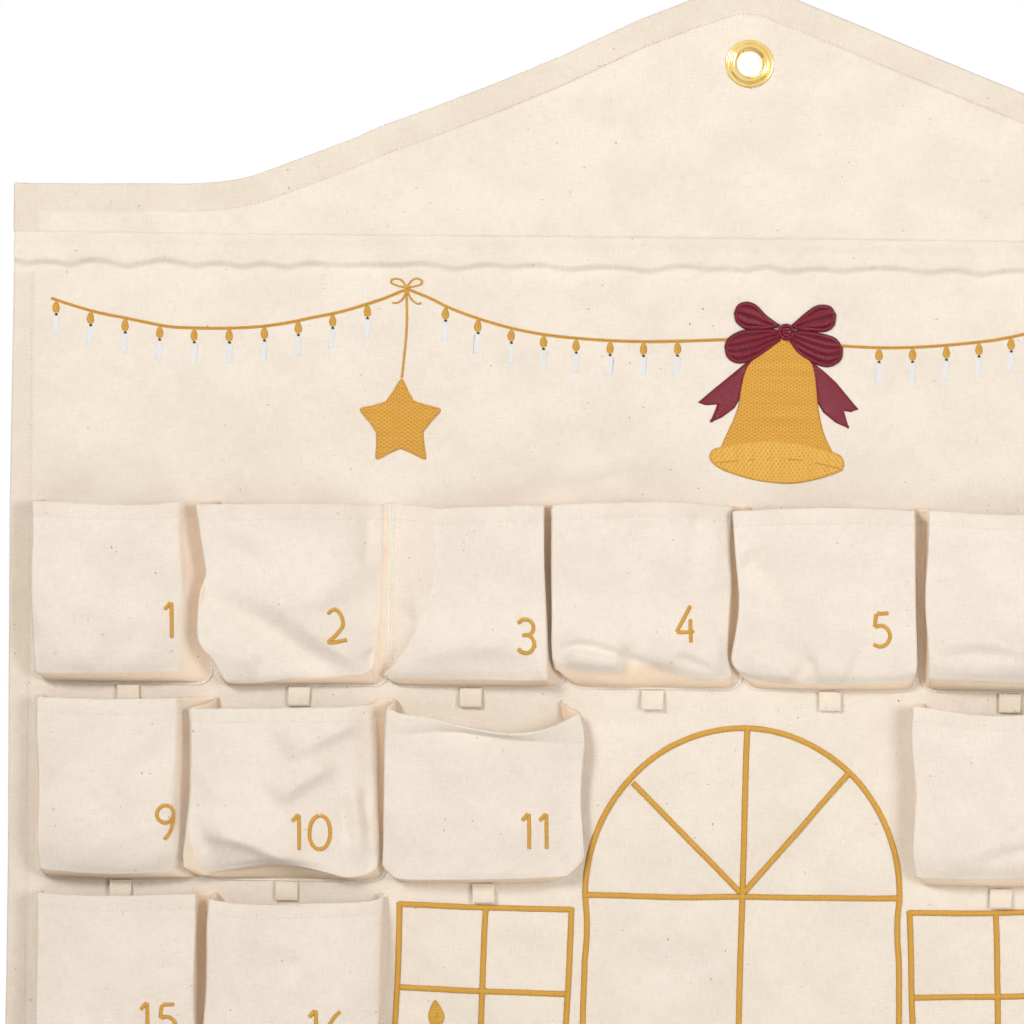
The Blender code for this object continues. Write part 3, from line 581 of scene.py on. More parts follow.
def stitch_line(group, line, normals, lift=0.10, shade=0.0, pitch=STITCH):
    """Topstitches along a line of points, with a needle hole at both ends of each, shown as a small dark
    cone of painted shade.
    """
    heap = stitches.setdefault(group, Heap())
    line, normals = np.asarray(line, float), np.asarray(normals, float)
    whole = length(line)
    count = max(1, int(round(whole / pitch)))
    ends = even(np.hstack([line, normals]), count + 1)
    fine = even(np.hstack([line, normals]), count * 4 + 1)
    sides, profile = 6, ((0.0, 0.02), (0.10, 0.17), (0.32, 0.25), (0.68, 0.25), (0.90, 0.17), (1.0, 0.02))
    for k in range(count):
        a, b = fine[4 * k], fine[4 * k + 4]
        middle = fine[4 * k + 2]
        along = b[:3] - a[:3]
        size = np.linalg.norm(along)
        if size < 0.4:
            continue
        along /= size
        up = middle[3:] - along * np.dot(middle[3:], along)
        up /= np.linalg.norm(up) + 1e-9
        side = np.cross(along, up)
        rings = []
        for t, radius in profile:
            at = a[:3] + (b[:3] - a[:3]) * (0.12 + 0.76 * t)
            sag = 4 * t * (1 - t)
            centre = at + up * (lift * (0.2 + 0.8 * sag) + (middle[:3] - (a[:3] + b[:3]) / 2).dot(up) * sag)
            angle = np.arange(sides) * 2 * math.pi / sides
            spokes = np.cos(angle)[:, None] * side + 0.8 * np.sin(angle)[:, None] * up
            rings.append(centre + radius * spokes)
        rings = np.vstack(rings)
        heap.add(rings, grid_faces(len(profile), sides, closed=True),
                 uv=np.tile([k * 3.1, 0.0], (len(rings), 1)) + rings[:, [0, 2]] * 0.5, shade=shade)
    # Painted shade: each needle hole is a small cone coloured dark.
    for point in ends:
        up = point[3:] / (np.linalg.norm(point[3:]) + 1e-9)
        side = np.cross(up, [0, 0, 1.0]) if abs(up[2]) < 0.9 else np.cross(up, [1.0, 0, 0])
        side /= np.linalg.norm(side)
        other = np.cross(up, side)
        angle = np.arange(6) * math.pi / 3
        spokes = np.cos(angle)[:, None] * side + np.sin(angle)[:, None] * other
        ring = point[:3] + up * 0.04 + 0.24 * spokes
        tip = point[:3] + up * 0.10
        tris = [[i, (i + 1) % 6, 6] for i in range(6)]
        heap.add(np.vstack([ring, tip]), tris=tris, shade=1.0)


def raised(points, lift):
    """Places in front of the panel by lift, for points of X and Z, and the way they face."""
    at = np.stack([points[:, 0], panel_y(points[:, 0], points[:, 1]) - lift, points[:, 1]], 1)
    return at, np.tile([0, -1.0, 0], (len(at), 1))


def panel_line(points, count=None):
    """A line on the panel through points of X and Z, and the way its face looks."""
    line = catmull(points, count or max(2, int(length(points) / 1.3)))
    at = np.stack([line[:, 0], panel_y(line[:, 0], line[:, 1]), line[:, 1]], 1)
    dy = (panel_y(line[:, 0], line[:, 1] + 0.3) - panel_y(line[:, 0], line[:, 1] - 0.3)) / 0.6
    facing = np.stack([np.zeros(len(line)), -np.ones(len(line)), dy], 1)
    return at, facing

# The panels, the sleeve, the eyelet and the rod

def normals_of(verts, quads):
    """Vertex normals of a surface, weighted by area."""
    a, b, c, d = (verts[quads[:, k]] for k in range(4))
    face = np.cross(c - a, d - b)
    out = np.zeros_like(verts)
    for k in range(4):
        np.add.at(out, quads[:, k], face)
    return out / (np.linalg.norm(out, axis=1, keepdims=True) + 1e-12)


def thicken(verts, quads, thickness, edge=0.25):
    """Closes an outer surface into cloth of some thickness. Its edges are rounded a little."""
    normal = normals_of(verts, quads)
    thickness = np.broadcast_to(np.asarray(thickness, float), len(verts))
    inner = verts - normal * thickness[:, None]
    count = len(verts)
    pairs = np.vstack([quads[:, [k, (k + 1) % 4]] for k in range(4)])
    key = np.sort(pairs, axis=1)
    code = key[:, 0].astype(np.int64) * count + key[:, 1]
    _, place, times = np.unique(code, return_index=True, return_counts=True)
    rim = pairs[place[times == 1]]
    used = np.unique(rim)
    number = np.full(count, -1)
    number[used] = np.arange(len(used)) + 2 * count
    outward = np.zeros_like(verts)
    along = verts[rim[:, 1]] - verts[rim[:, 0]]
    side = np.cross(along, normal[rim[:, 0]])
    np.add.at(outward, rim[:, 0], side)
    np.add.at(outward, rim[:, 1], side)
    outward /= np.linalg.norm(outward, axis=1, keepdims=True) + 1e-12
    middle = (verts + inner)[used] / 2 + outward[used] * (thickness[used, None] * edge)
    a, b = rim[:, 0], rim[:, 1]
    rim_a = np.stack([b, a, number[a], number[b]], 1)
    rim_b = np.stack([number[b], number[a], a + count, b + count], 1)
    everything = np.vstack([quads, quads[:, ::-1] + count, rim_a, rim_b])
    return np.vstack([verts, inner, middle]), everything, used


def with_uv(uv, used, shift=300.0):
    """UV of a thickened sheet: its face, its back and its rim."""
    return np.vstack([uv, uv + [shift, 0], uv[used]])


def steps(stops, size):
    """Places between the stops, no further apart than size."""
    out = [stops[0]]
    for a, b in zip(stops, stops[1:]):
        count = max(1, int(math.ceil((b - a) / size - 1e-6)))
        out += [a + (b - a) * k / count for k in range(1, count + 1)]
    return np.array(out)


def body_panel():
    half, low, top = HALF_WIDTH, BOTTOM_Z, SEAM_Z - 0.03
    grid = 3.0
    xs = steps([-half, -half + 0.8, -half + 10.6, -half + 11.4, -half + 12.8, -half + 13.3,
                half - 13.3, half - 12.8, half - 11.4, half - 10.6, half - 0.8, half], grid)
    zs = np.concatenate([steps([low, low + 0.8, low + 10.6, low + 11.4, low + 12.8, low + 13.3, ROD_Z - 16],
                               grid), steps([ROD_Z - 16, top], 1.0)[1:]])
    x, z = np.meshgrid(xs, zs)
    y = panel_y(x, z)
    sides, foot = half - np.abs(x), z - low
    for away in (sides, foot):
        y = y + 0.22 * np.exp(-((away - 11.0) / 0.6) ** 2)
    x = x + 2.5 * np.sin(z / 61) * np.clip(np.abs(x) / half - 0.8, 0, 1) * np.sign(x)
    zz = z + 0.6 * np.sin(x / 83 + 0.6) * smooth(1 - foot / 60)
    verts = np.stack([x, y, zz], -1).reshape(-1, 3)
    hem = np.maximum(smooth((13.2 - sides) / 0.3), smooth((13.2 - foot) / 0.3)) * (z < ROD_Z - 14)
    quads = grid_faces(len(zs), len(xs))
    made, faces, used = thicken(verts, quads, (1.4 + 0.8 * hem).ravel())
    uv = with_uv(np.stack([x.ravel(), z.ravel()], 1), used)
    # Painted shade: the doubled hems are coloured a little darker.
    doubled_cloth_painted_shade = np.concatenate([0.7 * hem.ravel()] * 2 + [0.7 * hem.ravel()[used]])
    obj = make("body_panel_cloth", made, [faces], canvas, uv=uv, values={"doubled_cloth_painted_shade": doubled_cloth_painted_shade})
    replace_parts(obj, "body_panel")
    edge = 11.0
    lines = [[(-half + edge, ROD_Z - 17), (-half + edge, low + edge)],
             [(-half + edge, low + edge), (half - edge, low + edge)],
             [(half - edge, low + edge), (half - edge, ROD_Z - 17)]]
    for line in lines:
        at, facing = panel_line(line)
        stitch_line("panel_stitches", at + [0, 0.1, 0], facing)
        stitch_line("panel_back_stitches", at + [0, 2.2, 0], -facing, lift=0.05)
    return obj


def roof_edge(inset):
    """The roof's top edge from the left to the right, moved inwards by inset, as the source has it."""
    angle = math.radians(21.6)
    apex, eave = 49 - inset / math.cos(angle), -76 - inset
    tip, foot = 40 - inset, 150 + inset
    eave_x = (apex - eave) / math.tan(angle) + foot * math.tan(angle / 2)
    tip_z = apex - tip / math.cos(angle)
    a = np.linspace(0, angle, 14)
    right = np.stack([tip * np.sin(a), tip_z + tip * np.cos(a)], 1)
    b = np.linspace(angle, 0, 18)
    right = np.vstack([right, np.stack([eave_x - foot * np.sin(b), eave + foot - foot * np.cos(b)], 1),
                       [[HALF_WIDTH, eave]]])
    left = right[:0:-1] * [-1, 1]
    return np.vstack([left, right])


# How far the roof's left slope runs below a straight line, in pixels of the photograph at its X there.
SLOPE_X = (150, 170, 200, 250, 311, 352, 385, 406, 441, 500, 560, 597, 640, 689, 720, 750)
SLOPE_DROP = (0, 0, 1, 4, 4, 4, 2.2, 3.2, 4, 4.5, 2.5, -1, -5, -5, -3, 0)


def roof_sag(x):
    """How far the roof's top edge departs from its formula at X, in millimetres."""
    px = EYE_X + np.asarray(x, float) / MM_PER_PIXEL
    return -MM_PER_PIXEL * np.interp(px, SLOPE_X, SLOPE_DROP) + 0.35 * np.sin(np.asarray(x, float) / 29)


def roof_panel():
    low, half = SEAM_Z + 0.03, HALF_WIDTH
    outer, inner = roof_edge(0), roof_edge(17.0)
    xs = steps([-half, -half + 0.8, -half + 16.6, -half + 17.2, -30, 30, half - 17.2, half - 16.6,
                half - 0.8, half], 3.0)
    top = np.interp(xs, outer[:, 0], outer[:, 1]) + roof_sag(xs)
    hem = np.interp(xs, inner[:, 0], inner[:, 1]) + roof_sag(xs)
    hem[(np.abs(xs) > half - 17)] = -93.0
    rows = []
    for k in range(54):
        t = 1 - (1 - k / 53) ** 1.15
        rows.append(low + (hem - 1.6 - low) * t)
    for rise in (-1.1, -0.6, -0.2, 0.25, 0.8, 1.4, 2.2):
        rows.append(hem + rise)
    for t in (0.3, 0.5, 0.7, 0.85, 0.96, 1.0):
        rows.append(hem + 2.2 + (top - hem - 2.2) * t)
    z = np.array(rows)
    x = np.broadcast_to(xs, z.shape)
    y = panel_y(x, z)
    # The hem's stitched line draws the cloth in a little, most of it on the left slope.
    outline = np.stack([xs, top], 1)
    line = np.vstack([outline, [[half, low], [-half, low]]])
    away = edge_distance(np.stack([x.ravel(), z.ravel()], 1), line[:len(outline)],
                         closed=False).reshape(x.shape)
    side = half - np.abs(x)
    away = np.where(z < SEAM_Z + 30, np.minimum(away, side + 1.0), away)
    pull = 0.30 + 0.35 * np.exp(-((x + 95) / 75) ** 2) + 0.35 * smooth((x - 20) / 80)
    loose = 0.35 * smooth(1 - away / 14) * (0.5 + 0.5 * np.sin(x / 47))
    y = y + pull * np.exp(-((away - 16.0) / 0.9) ** 2) - loose
    verts = np.stack([x, y, z], -1).reshape(-1, 3)
    band = np.maximum(z >= hem[None] + 0.2, np.abs(x) > half - 16.9)
    quads = grid_faces(z.shape[0], z.shape[1])
    made, faces, used = thicken(verts, quads, (1.4 + 0.8 * band).ravel())
    uv = with_uv(np.stack([x.ravel() + 37, z.ravel() + 520], 1), used)
    # Painted shade: the doubled hem band is coloured a little darker.
    doubled_cloth_painted_shade = smooth((17.2 - away) / 0.8).ravel()
    doubled_cloth_painted_shade = np.concatenate([doubled_cloth_painted_shade, doubled_cloth_painted_shade, doubled_cloth_painted_shade[used]])
    obj = make("roof_cloth", made, [faces], canvas, uv=uv, values={"doubled_cloth_painted_shade": doubled_cloth_painted_shade})
    bpy.ops.mesh.primitive_cylinder_add(vertices=64, radius=8.75 * MM, depth=20 * MM,
                                        rotation=(math.pi / 2, 0, 0))
    punch = bpy.context.active_object
    cut = obj.modifiers.new("hole", "BOOLEAN")
    cut.operation, cut.object, cut.solver = "DIFFERENCE", punch, "EXACT"
    bpy.context.view_layer.update()
    holed = bpy.data.meshes.new_from_object(obj.evaluated_get(bpy.context.evaluated_depsgraph_get()))
    obj.modifiers.clear()
    obj.data = holed
    obj.data.materials.clear()
    obj.data.materials.append(canvas)
    obj.data.polygons.foreach_set("material_index", np.zeros(len(obj.data.polygons), np.int32))
    bpy.data.objects.remove(punch)
    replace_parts(obj, "roof_panel")
    line = roof_edge(16.0)
    line = even(line[(np.abs(line[:, 0]) < half - 16)], 700)
    line[:, 1] += roof_sag(line[:, 0])
    at, facing = raised(line, -0.25)
    stitch_line("panel_stitches", at, facing)
    stitch_line("panel_back_stitches", at + [0, 1.95, 0], -facing, lift=0.05)
    return obj


def rod_sleeve():
    flat = BACK + GAP
    profile = [(flat, -10.5), (flat, -9.0), (flat + 0.05, -7.9), (2.2, -7.0), (3.6, -6.5)]
    profile += [(3.2 + 6.5 * math.sin(a), -6.5 * math.cos(a)) for a in np.radians(np.arange(22, 170, 12))]
    profile += [(3.6, 6.5), (2.2, 7.0), (flat + 0.05, 7.9), (flat, 9.0), (flat, 10.2)]
    line = catmull(profile, 44)
    xs = np.linspace(436, -436, 175)
    out = outward_of(line)
    x, row = np.meshgrid(xs, np.arange(len(line)))
    loose = np.clip(0.35 * wave(x, row * 3.0, 13, 60) + 0.25, 0,
                    1) * np.sin(np.linspace(0, math.pi, len(line)))[:, None] ** 2
    y = line[:, 0][:, None] + out[:, 0][:, None] * (0.9 + loose)
    z = ROD_Z + line[:, 1][:, None] + out[:, 1][:, None] * (0.9 + loose)
    verts = np.stack([x, y, z], -1).reshape(-1, 3)
    quads = grid_faces(len(line), len(xs))
    made, faces, used = thicken(verts, quads, 0.9)
    run = run_along(line)
    uv = with_uv(np.stack([x.ravel(), np.repeat(run, len(xs))], 1), used)
    obj = make("rod_sleeve_cloth", made, [faces], tape, uv=uv)
    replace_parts(obj, "rod_sleeve")
    for dz in (-9.2, 8.9):
        line = np.stack([xs[::-1], np.full(len(xs), flat + 0.9), np.full(len(xs), ROD_Z + dz)], 1)
        stitch_line("panel_back_stitches", line, np.tile([0, 1.0, 0], (len(xs), 1)))
    return obj


def turned(name, profile, material, around=96, axis="y", body="calendar", slot="brass", centre=(0, 0, 0)):
    """A ring turned from a closed profile of radius and place along the axis."""
    profile = np.asarray(profile, float)
    angle = np.arange(around) * 2 * math.pi / around
    r, p = profile[:, 0][:, None], profile[:, 1][:, None] * np.ones(around)
    c, s = r * np.cos(angle), r * np.sin(angle)
    verts = np.stack([c, p, s] if axis == "y" else [p, c, s], -1).reshape(-1, 3) + np.asarray(centre)
    loop = np.vstack([np.arange(len(profile) * around).reshape(len(profile), around),
                      np.arange(around)[None]])
    loop = np.hstack([loop, loop[:, :1]])
    quads = quads_of(loop)
    obj = make(name, verts, [quads], material, uv=verts[:, [0, 2]], body=body, slot=slot)
    shell = bmesh.new()
    shell.from_mesh(obj.data)
    bmesh.ops.recalc_face_normals(shell, faces=shell.faces)
    shell.to_mesh(obj.data)
    shell.free()
    return obj


def eyelet():
    hole, barrel, flange, seat = 7.65, 8.25, 14.4, -1.0
    a = np.linspace(0, math.pi, 30)
    rim = [(flange - 0.3, seat + 0.1), (flange, seat - 0.15), (flange - 0.05, seat - 0.4),
           (flange - 0.4, seat - 0.6), (13.2, seat - 0.68), (12.6, seat - 0.66), (12.25, seat - 0.5)]
    dome = [(10.25 + 1.85 * math.cos(t), seat - 0.5 - 1.9 * math.sin(t) ** 0.75) for t in a]
    profile = rim + dome + [(hole + 0.25, seat - 0.25), (hole + 0.05, seat + 0.1), (hole, seat + 0.7),
                            (hole, 2.0)]
    profile += [(hole + 0.25, 2.55), (hole + 0.7, 2.8), (9.2, 2.8), (9.6, 2.55), (9.65, 2.25),
                (barrel, 2.2), (barrel, seat + 0.1)]
    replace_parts(turned("brass_eyelet", profile, brass), "eyelet")
    inner, outer, front, back = 8.55, 13.4, 1.0, 1.9
    washer = [(inner, front), (outer - 0.1, front), (outer, front + 0.15), (outer, back - 0.3),
              (outer - 0.3, back), (inner + 0.15, back), (inner, back - 0.15)]
    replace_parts(turned("brass_washer", washer, brass), "eyelet_washer")


def dowel():
    low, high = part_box("wooden_rod")
    x0, x1, r = low.x / MM, high.x / MM, (high.z - low.z) / 2 / MM
    y, z = (low.y + high.y) / 2 / MM, (low.z + high.z) / 2 / MM
    places = [(0.01, x0), (r - 1.0, x0), (r - 0.35, x0 + 0.25),
              (r - 0.05, x0 + 0.9)] + [(r - 0.04, t) for t in np.linspace(x0 + 1.2, x1 - 1.2, 60)]
    places += [(r - 0.05, x1 - 0.9), (r - 0.35, x1 - 0.25), (r - 1.0, x1), (0.01, x1)]
    obj = turned("dowel", places, wood, around=40, axis="x", body="rod", slot="wood", centre=(0, y, z))
    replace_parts(obj, "wooden_rod")


# Pockets

NU, NV, NG, HEM = 68, 68, 10, 9.7
SHALLOW = 0.62
SIDE_SEAM, FOOT_SEAM = 1.9, 1.3
FOLD_GAIN = 1.6
HEM_ROWS = 6

# Curves of the pockets that the photograph shows, as places in a crop of it with their depth in
# millimetres: the left fold from its foot up, the front's lower edge, the right fold from its foot
# up, and the mouth, from left to right.
CROP_LEFT, CROP_TOP, CROP_SCALE = 170, 485, 3.6465
FOLD_DEPTH, GUSSET_DEPTH, NUMBER_DEPTH = 24, 18, 27
FLOOR_DEEP = 26.0


def crop(kx, ky, depth):
    """A place in millimetres for one in the crop."""
    depth *= SHALLOW
    x, z = seen(CROP_LEFT + kx / CROP_SCALE, CROP_TOP + ky / CROP_SCALE, depth)
    return (x, -depth, z)


def course(path, depth):
    """X and Z in millimetres of a fold's course in the crop."""
    return [tuple(np.array(crop(kx, ky, depth))[[0, 2]]) for kx, ky in path]


def curve(points):
    return np.array([crop(*p) for p in points])


SHAPES = {2: dict(L=[(211, 721, 17), (192, 702, 20), (153, 638, 24), (111, 594, 26), (95, 546, 26),
                     (97, 456, 25), (106, 384, 24), (126, 331, 22), (123, 292, 22), (99, 140, 24),
                     (88, 70, 25)], B=[(211, 721, 17), (293, 724, 19), (342, 719, 21), (438, 704, 22),
                                       (550, 697, 22), (640, 692, 22), (700, 690, 20), (735, 668, 15)],
                  R=[(735, 668, 14), (750, 600, 10), (764, 500, 7), (771, 400, 5), (775, 250, 4),
                     (777, 73, 4)], M=[(88, 70, 25), (250, 69, 28), (450, 68, 27), (600, 68, 22),
                                       (710, 71, 11), (777, 73, 4)],
                  folds=[(3.6, 20, 8, [(292, 368), (438, 473), (554, 561), (656, 631), (758, 675)]),
                         (-2.8, 8, 10, [(30, 360), (139, 400), (248, 456), (365, 521), (467, 594),
                                        (560, 642), (650, 668), (720, 676)]),
                         (3.2, 10, 20, [(760, 290), (686, 322), (620, 354), (566, 400), (560, 470)]),
                         (-1.5, 3.5, 3.5, [(712, 98), (721, 193), (703, 310)]),
                         (-2.6, 3.5, 3.5, [(716, 606), (742, 640), (760, 664)]),
                         (-1.6, 8, 8, [(139, 135), (190, 208), (292, 259), (394, 266)]),
                         (1.8, 9, 9, [(146, 572), (233, 631), (335, 645)])], belly=1.5, gus=(2.0, 1.0)),
          3: dict(L=[(772, 690, 13), (800, 668, 16), (835, 628, 19), (880, 558, 22), (926, 470, 23),
                     (953, 383, 24), (973, 310, 24), (972, 200, 23), (966, 86, 22)],
                  B=[(772, 690, 13), (805, 704, 15), (900, 707, 16), (1000, 709, 17), (1150, 710, 18),
                     (1300, 713, 19), (1378, 712, 20)], R=[(1378, 712, 24), (1376, 650, 25),
        (1374, 500, 26), (1370, 350, 25), (1367, 250, 24), (1367, 74, 24)],
                  M=[(966, 86, 22), (1050, 81, 25), (1150, 78, 27), (1260, 75, 28), (1367, 74, 26)],
                  folds=[(2.6, 18, 8, [(870, 640), (1000, 598), (1150, 583), (1290, 606), (1372, 655)]),
                         (1.4, 14, 14, [(1050, 383), (1167, 456), (1313, 500)]),
                         (-1.0, 2.4, 2.4, [(970, 95), (976, 200), (975, 310), (958, 390)]),
                         (-1.2, 5, 7, [(1320, 106), (1313, 193), (1335, 310)]),
                         (1.6, 4, 4, [(1345, 654), (1368, 677), (1386, 701)])],
                  side=[(-4.4, 3, 3, [(881, 456), (880, 521), (866, 594), (839, 645)]),
                        (3.2, 4, 4, [(904, 383), (896, 500), (884, 561)]),
                        (-3.4, 3, 3, [(948, 400), (948, 456), (934, 521)])], belly=1.5, gus=(1.0, 5.0)),
          4: dict(L=[(1401, 668, 17), (1396, 650, 21), (1391, 629, 23), (1388, 566, 25), (1389, 475, 26),
                     (1387, 292, 27), (1388, 73, 26)], B=[(1401, 668, 17), (1452, 672, 22), (1520, 677, 25),
        (1590, 684, 25), (1640, 676, 22), (1692, 650, 18), (1749, 658, 18), (1806, 675, 19),
        (1863, 692, 20), (1943, 707, 19), (2011, 706, 16), (2050, 692, 11)],
                  R=[(2050, 692, 11), (2039, 657, 14), (2032, 589, 16), (2039, 475, 15), (2048, 361, 14),
                     (2043, 224, 14), (2048, 78, 15)], M=[(1388, 73, 26), (1577, 64, 29), (1806, 62, 28),
        (1920, 66, 24), (2048, 78, 15)], folds=[(1.6, 12, 2.0,
                                                 [(1425, 606), (1450, 581), (1498, 572), (1555, 582),
                                                  (1623, 604), (1692, 628)]),
                                                (-3.4, 2.4, 3.4,
                                                 [(1425, 614), (1450, 589), (1498, 580), (1555, 590),
                                                  (1623, 612), (1692, 636), (1743, 644)]),
                                                (3.2, 10, 8,
                                                 [(1429, 640), (1498, 623), (1566, 632), (1635, 649),
                                                  (1680, 657)]),
                                                (3.2, 14, 9,
                                                 [(1726, 612), (1806, 625), (1886, 606), (1954, 635),
                                                  (2034, 682)]),
                                                (-1.4, 3, 3, [(1829, 621), (1897, 644), (1988, 678)]),
                                                (-1.6, 5, 7, [(1914, 87), (1920, 167), (1934, 258)]),
                                                (-1.6, 12, 9, [(1851, 395), (1897, 338), (1966, 317)]),
                                                (1.2, 7, 7, [(1977, 121), (1988, 246), (1966, 395)])],
                  belly=1.2, gus=(2.0, 1.0)), 5: dict(L=[(2091, 692, 12), (2061, 671, 16), (2044, 640, 19),
        (2049, 595, 22), (2063, 520, 24), (2072, 440, 25), (2069, 361, 24), (2058, 246, 24),
        (2047, 96, 24)], B=[(2091, 692, 12), (2148, 708, 15), (2262, 719, 18), (2376, 721, 19),
                            (2485, 722, 20), (2593, 722, 19), (2685, 714, 16), (2714, 703, 13)],
        R=[(2714, 703, 13), (2726, 657, 19), (2722, 475, 23), (2719, 246, 24), (2719, 94, 24)],
        M=[(2047, 96, 24), (2217, 87, 27), (2376, 82, 28), (2548, 84, 27), (2719, 94, 24)],
        folds=[(-2.6, 8, 9, [(2080, 252), (2137, 304), (2199, 372), (2251, 423)]),
               (2.4, 9, 12, [(2080, 617), (2171, 640), (2251, 686), (2296, 717)]),
               (-2.0, 8, 8, [(2080, 537), (2171, 583), (2262, 617), (2319, 640)]),
               (2.0, 12, 10, [(2342, 686), (2411, 666), (2485, 692)]),
               (-2.0, 5, 5, [(2285, 717), (2319, 657), (2359, 629)]),
               (-1.2, 12, 10, [(2376, 361), (2445, 418), (2536, 452)])], belly=1.5, gus=(1.0, 2.0)),
          10: dict(L=[(47, 1391, 20), (42, 1352, 23), (48, 1300, 25), (60, 1200, 26), (68, 1100, 26),
                      (69, 1000, 25), (69, 900, 25), (63, 815, 25)],
                   B=[(47, 1391, 18), (94, 1414, 14), (172, 1408, 12), (267, 1394, 13), (368, 1380, 17),
                      (470, 1390, 22), (560, 1412, 25), (640, 1432, 23), (700, 1424, 20), (748, 1402, 14)],
                   R=[(748, 1402, 14), (765, 1350, 12), (760, 1200, 12), (757, 1050, 11), (757, 950, 9),
                      (752, 860, 8), (738, 800, 9)], M=[(63, 815, 25), (250, 816, 27), (450, 813, 26),
        (640, 807, 21), (700, 804, 15), (738, 800, 9)], folds=[(3.4, 14, 2.6,
        [(122, 1301), (165, 1289), (207, 1287), (290, 1309), (384, 1352), (470, 1388), (549, 1414)]),
        (5.6, 18, 14, [(122, 1295), (165, 1285), (207, 1283), (290, 1305), (384, 1348), (470, 1384)]),
        (4.6, 6, 15, [(697, 850), (588, 906), (494, 953), (420, 1000)]),
        (4.6, 6, 14, [(610, 1004), (516, 1060), (438, 1107), (380, 1165)]),
        (2.2, 14, 7, [(78, 1020), (138, 1079), (185, 1132), (207, 1185)]),
        (1.6, 7, 7, [(94, 1160), (133, 1239), (157, 1301)]),
        (-2.2, 3.5, 3.5, [(702, 1105), (721, 1207), (737, 1325)]),
        (2.0, 5, 5, [(666, 1066), (677, 1192), (690, 1333), (674, 1403)]),
        (-1.8, 4, 4, [(630, 1137), (633, 1223), (651, 1325)])], belly=2.0, gus=(3.0, 1.0), floor=0.1),
          11: dict(L=[(772, 1382, 18), (775, 1300, 22), (776, 1200, 24), (778, 1050, 25), (778, 960, 25),
                      (779, 920, 26), (782, 860, 27), (788, 806, 26)],
                   B=[(772, 1382, 18), (795, 1412, 23), (832, 1437, 26), (950, 1441, 28), (1100, 1440, 28),
                      (1300, 1436, 27), (1400, 1430, 25), (1452, 1425, 21)],
                   R=[(1452, 1425, 19), (1512, 1366, 12), (1513, 1300, 13), (1504, 1160, 14),
                      (1508, 1050, 14), (1518, 938, 14), (1512, 880, 13), (1497, 824, 11)],
                   M=[(788, 806, 26), (830, 830, 31), (870, 838, 33), (950, 852, 35), (1050, 880, 37),
                      (1150, 901, 38), (1240, 912, 38), (1330, 902, 36), (1400, 880, 30), (1455, 850, 21),
                      (1497, 824, 11)], folds=[(-1.5, 22, 16,
                                                [(850, 1150), (1050, 1120), (1200, 1150), (1350, 1210)]),
                                               (1.2, 18, 16, [(900, 1010), (1100, 1010), (1300, 1040)]),
                                               (1.2, 18, 16, [(900, 1330), (1150, 1330), (1350, 1330)])],
                   belly=2.2, gus=(2.0, 2.0), lip=[(780, 922, 25), (900, 908, 27), (1000, 900, 28),
                                                   (1130, 910, 29), (1300, 934, 30), (1400, 940, 26),
                                                   (1520, 936, 14)], lip_ends=(0.795, 0.815)),
          16: dict(M=[(139, 1510, 25), (241, 1525, 29), (374, 1529, 31), (471, 1526, 31), (642, 1521, 28),
                      (749, 1513, 17), (783, 1491, 8)], folds=[(-2.0, 12, 10,
        [(600, 1640), (480, 1720), (380, 1760)]), (1.8, 14, 12, [(250, 1640), (450, 1680), (620, 1760)])],
                   belly=2.5, gus=(2.0, 2.0)),}

# Where the photograph shows the middle of each number, in pixels.
NUMBERS = {2: (336, 627), 3: (525.5, 636.5), 4: (686, 624.5), 10: (310, 833.5), 11: (535, 832.8),
           16: (326.5, 1029)}

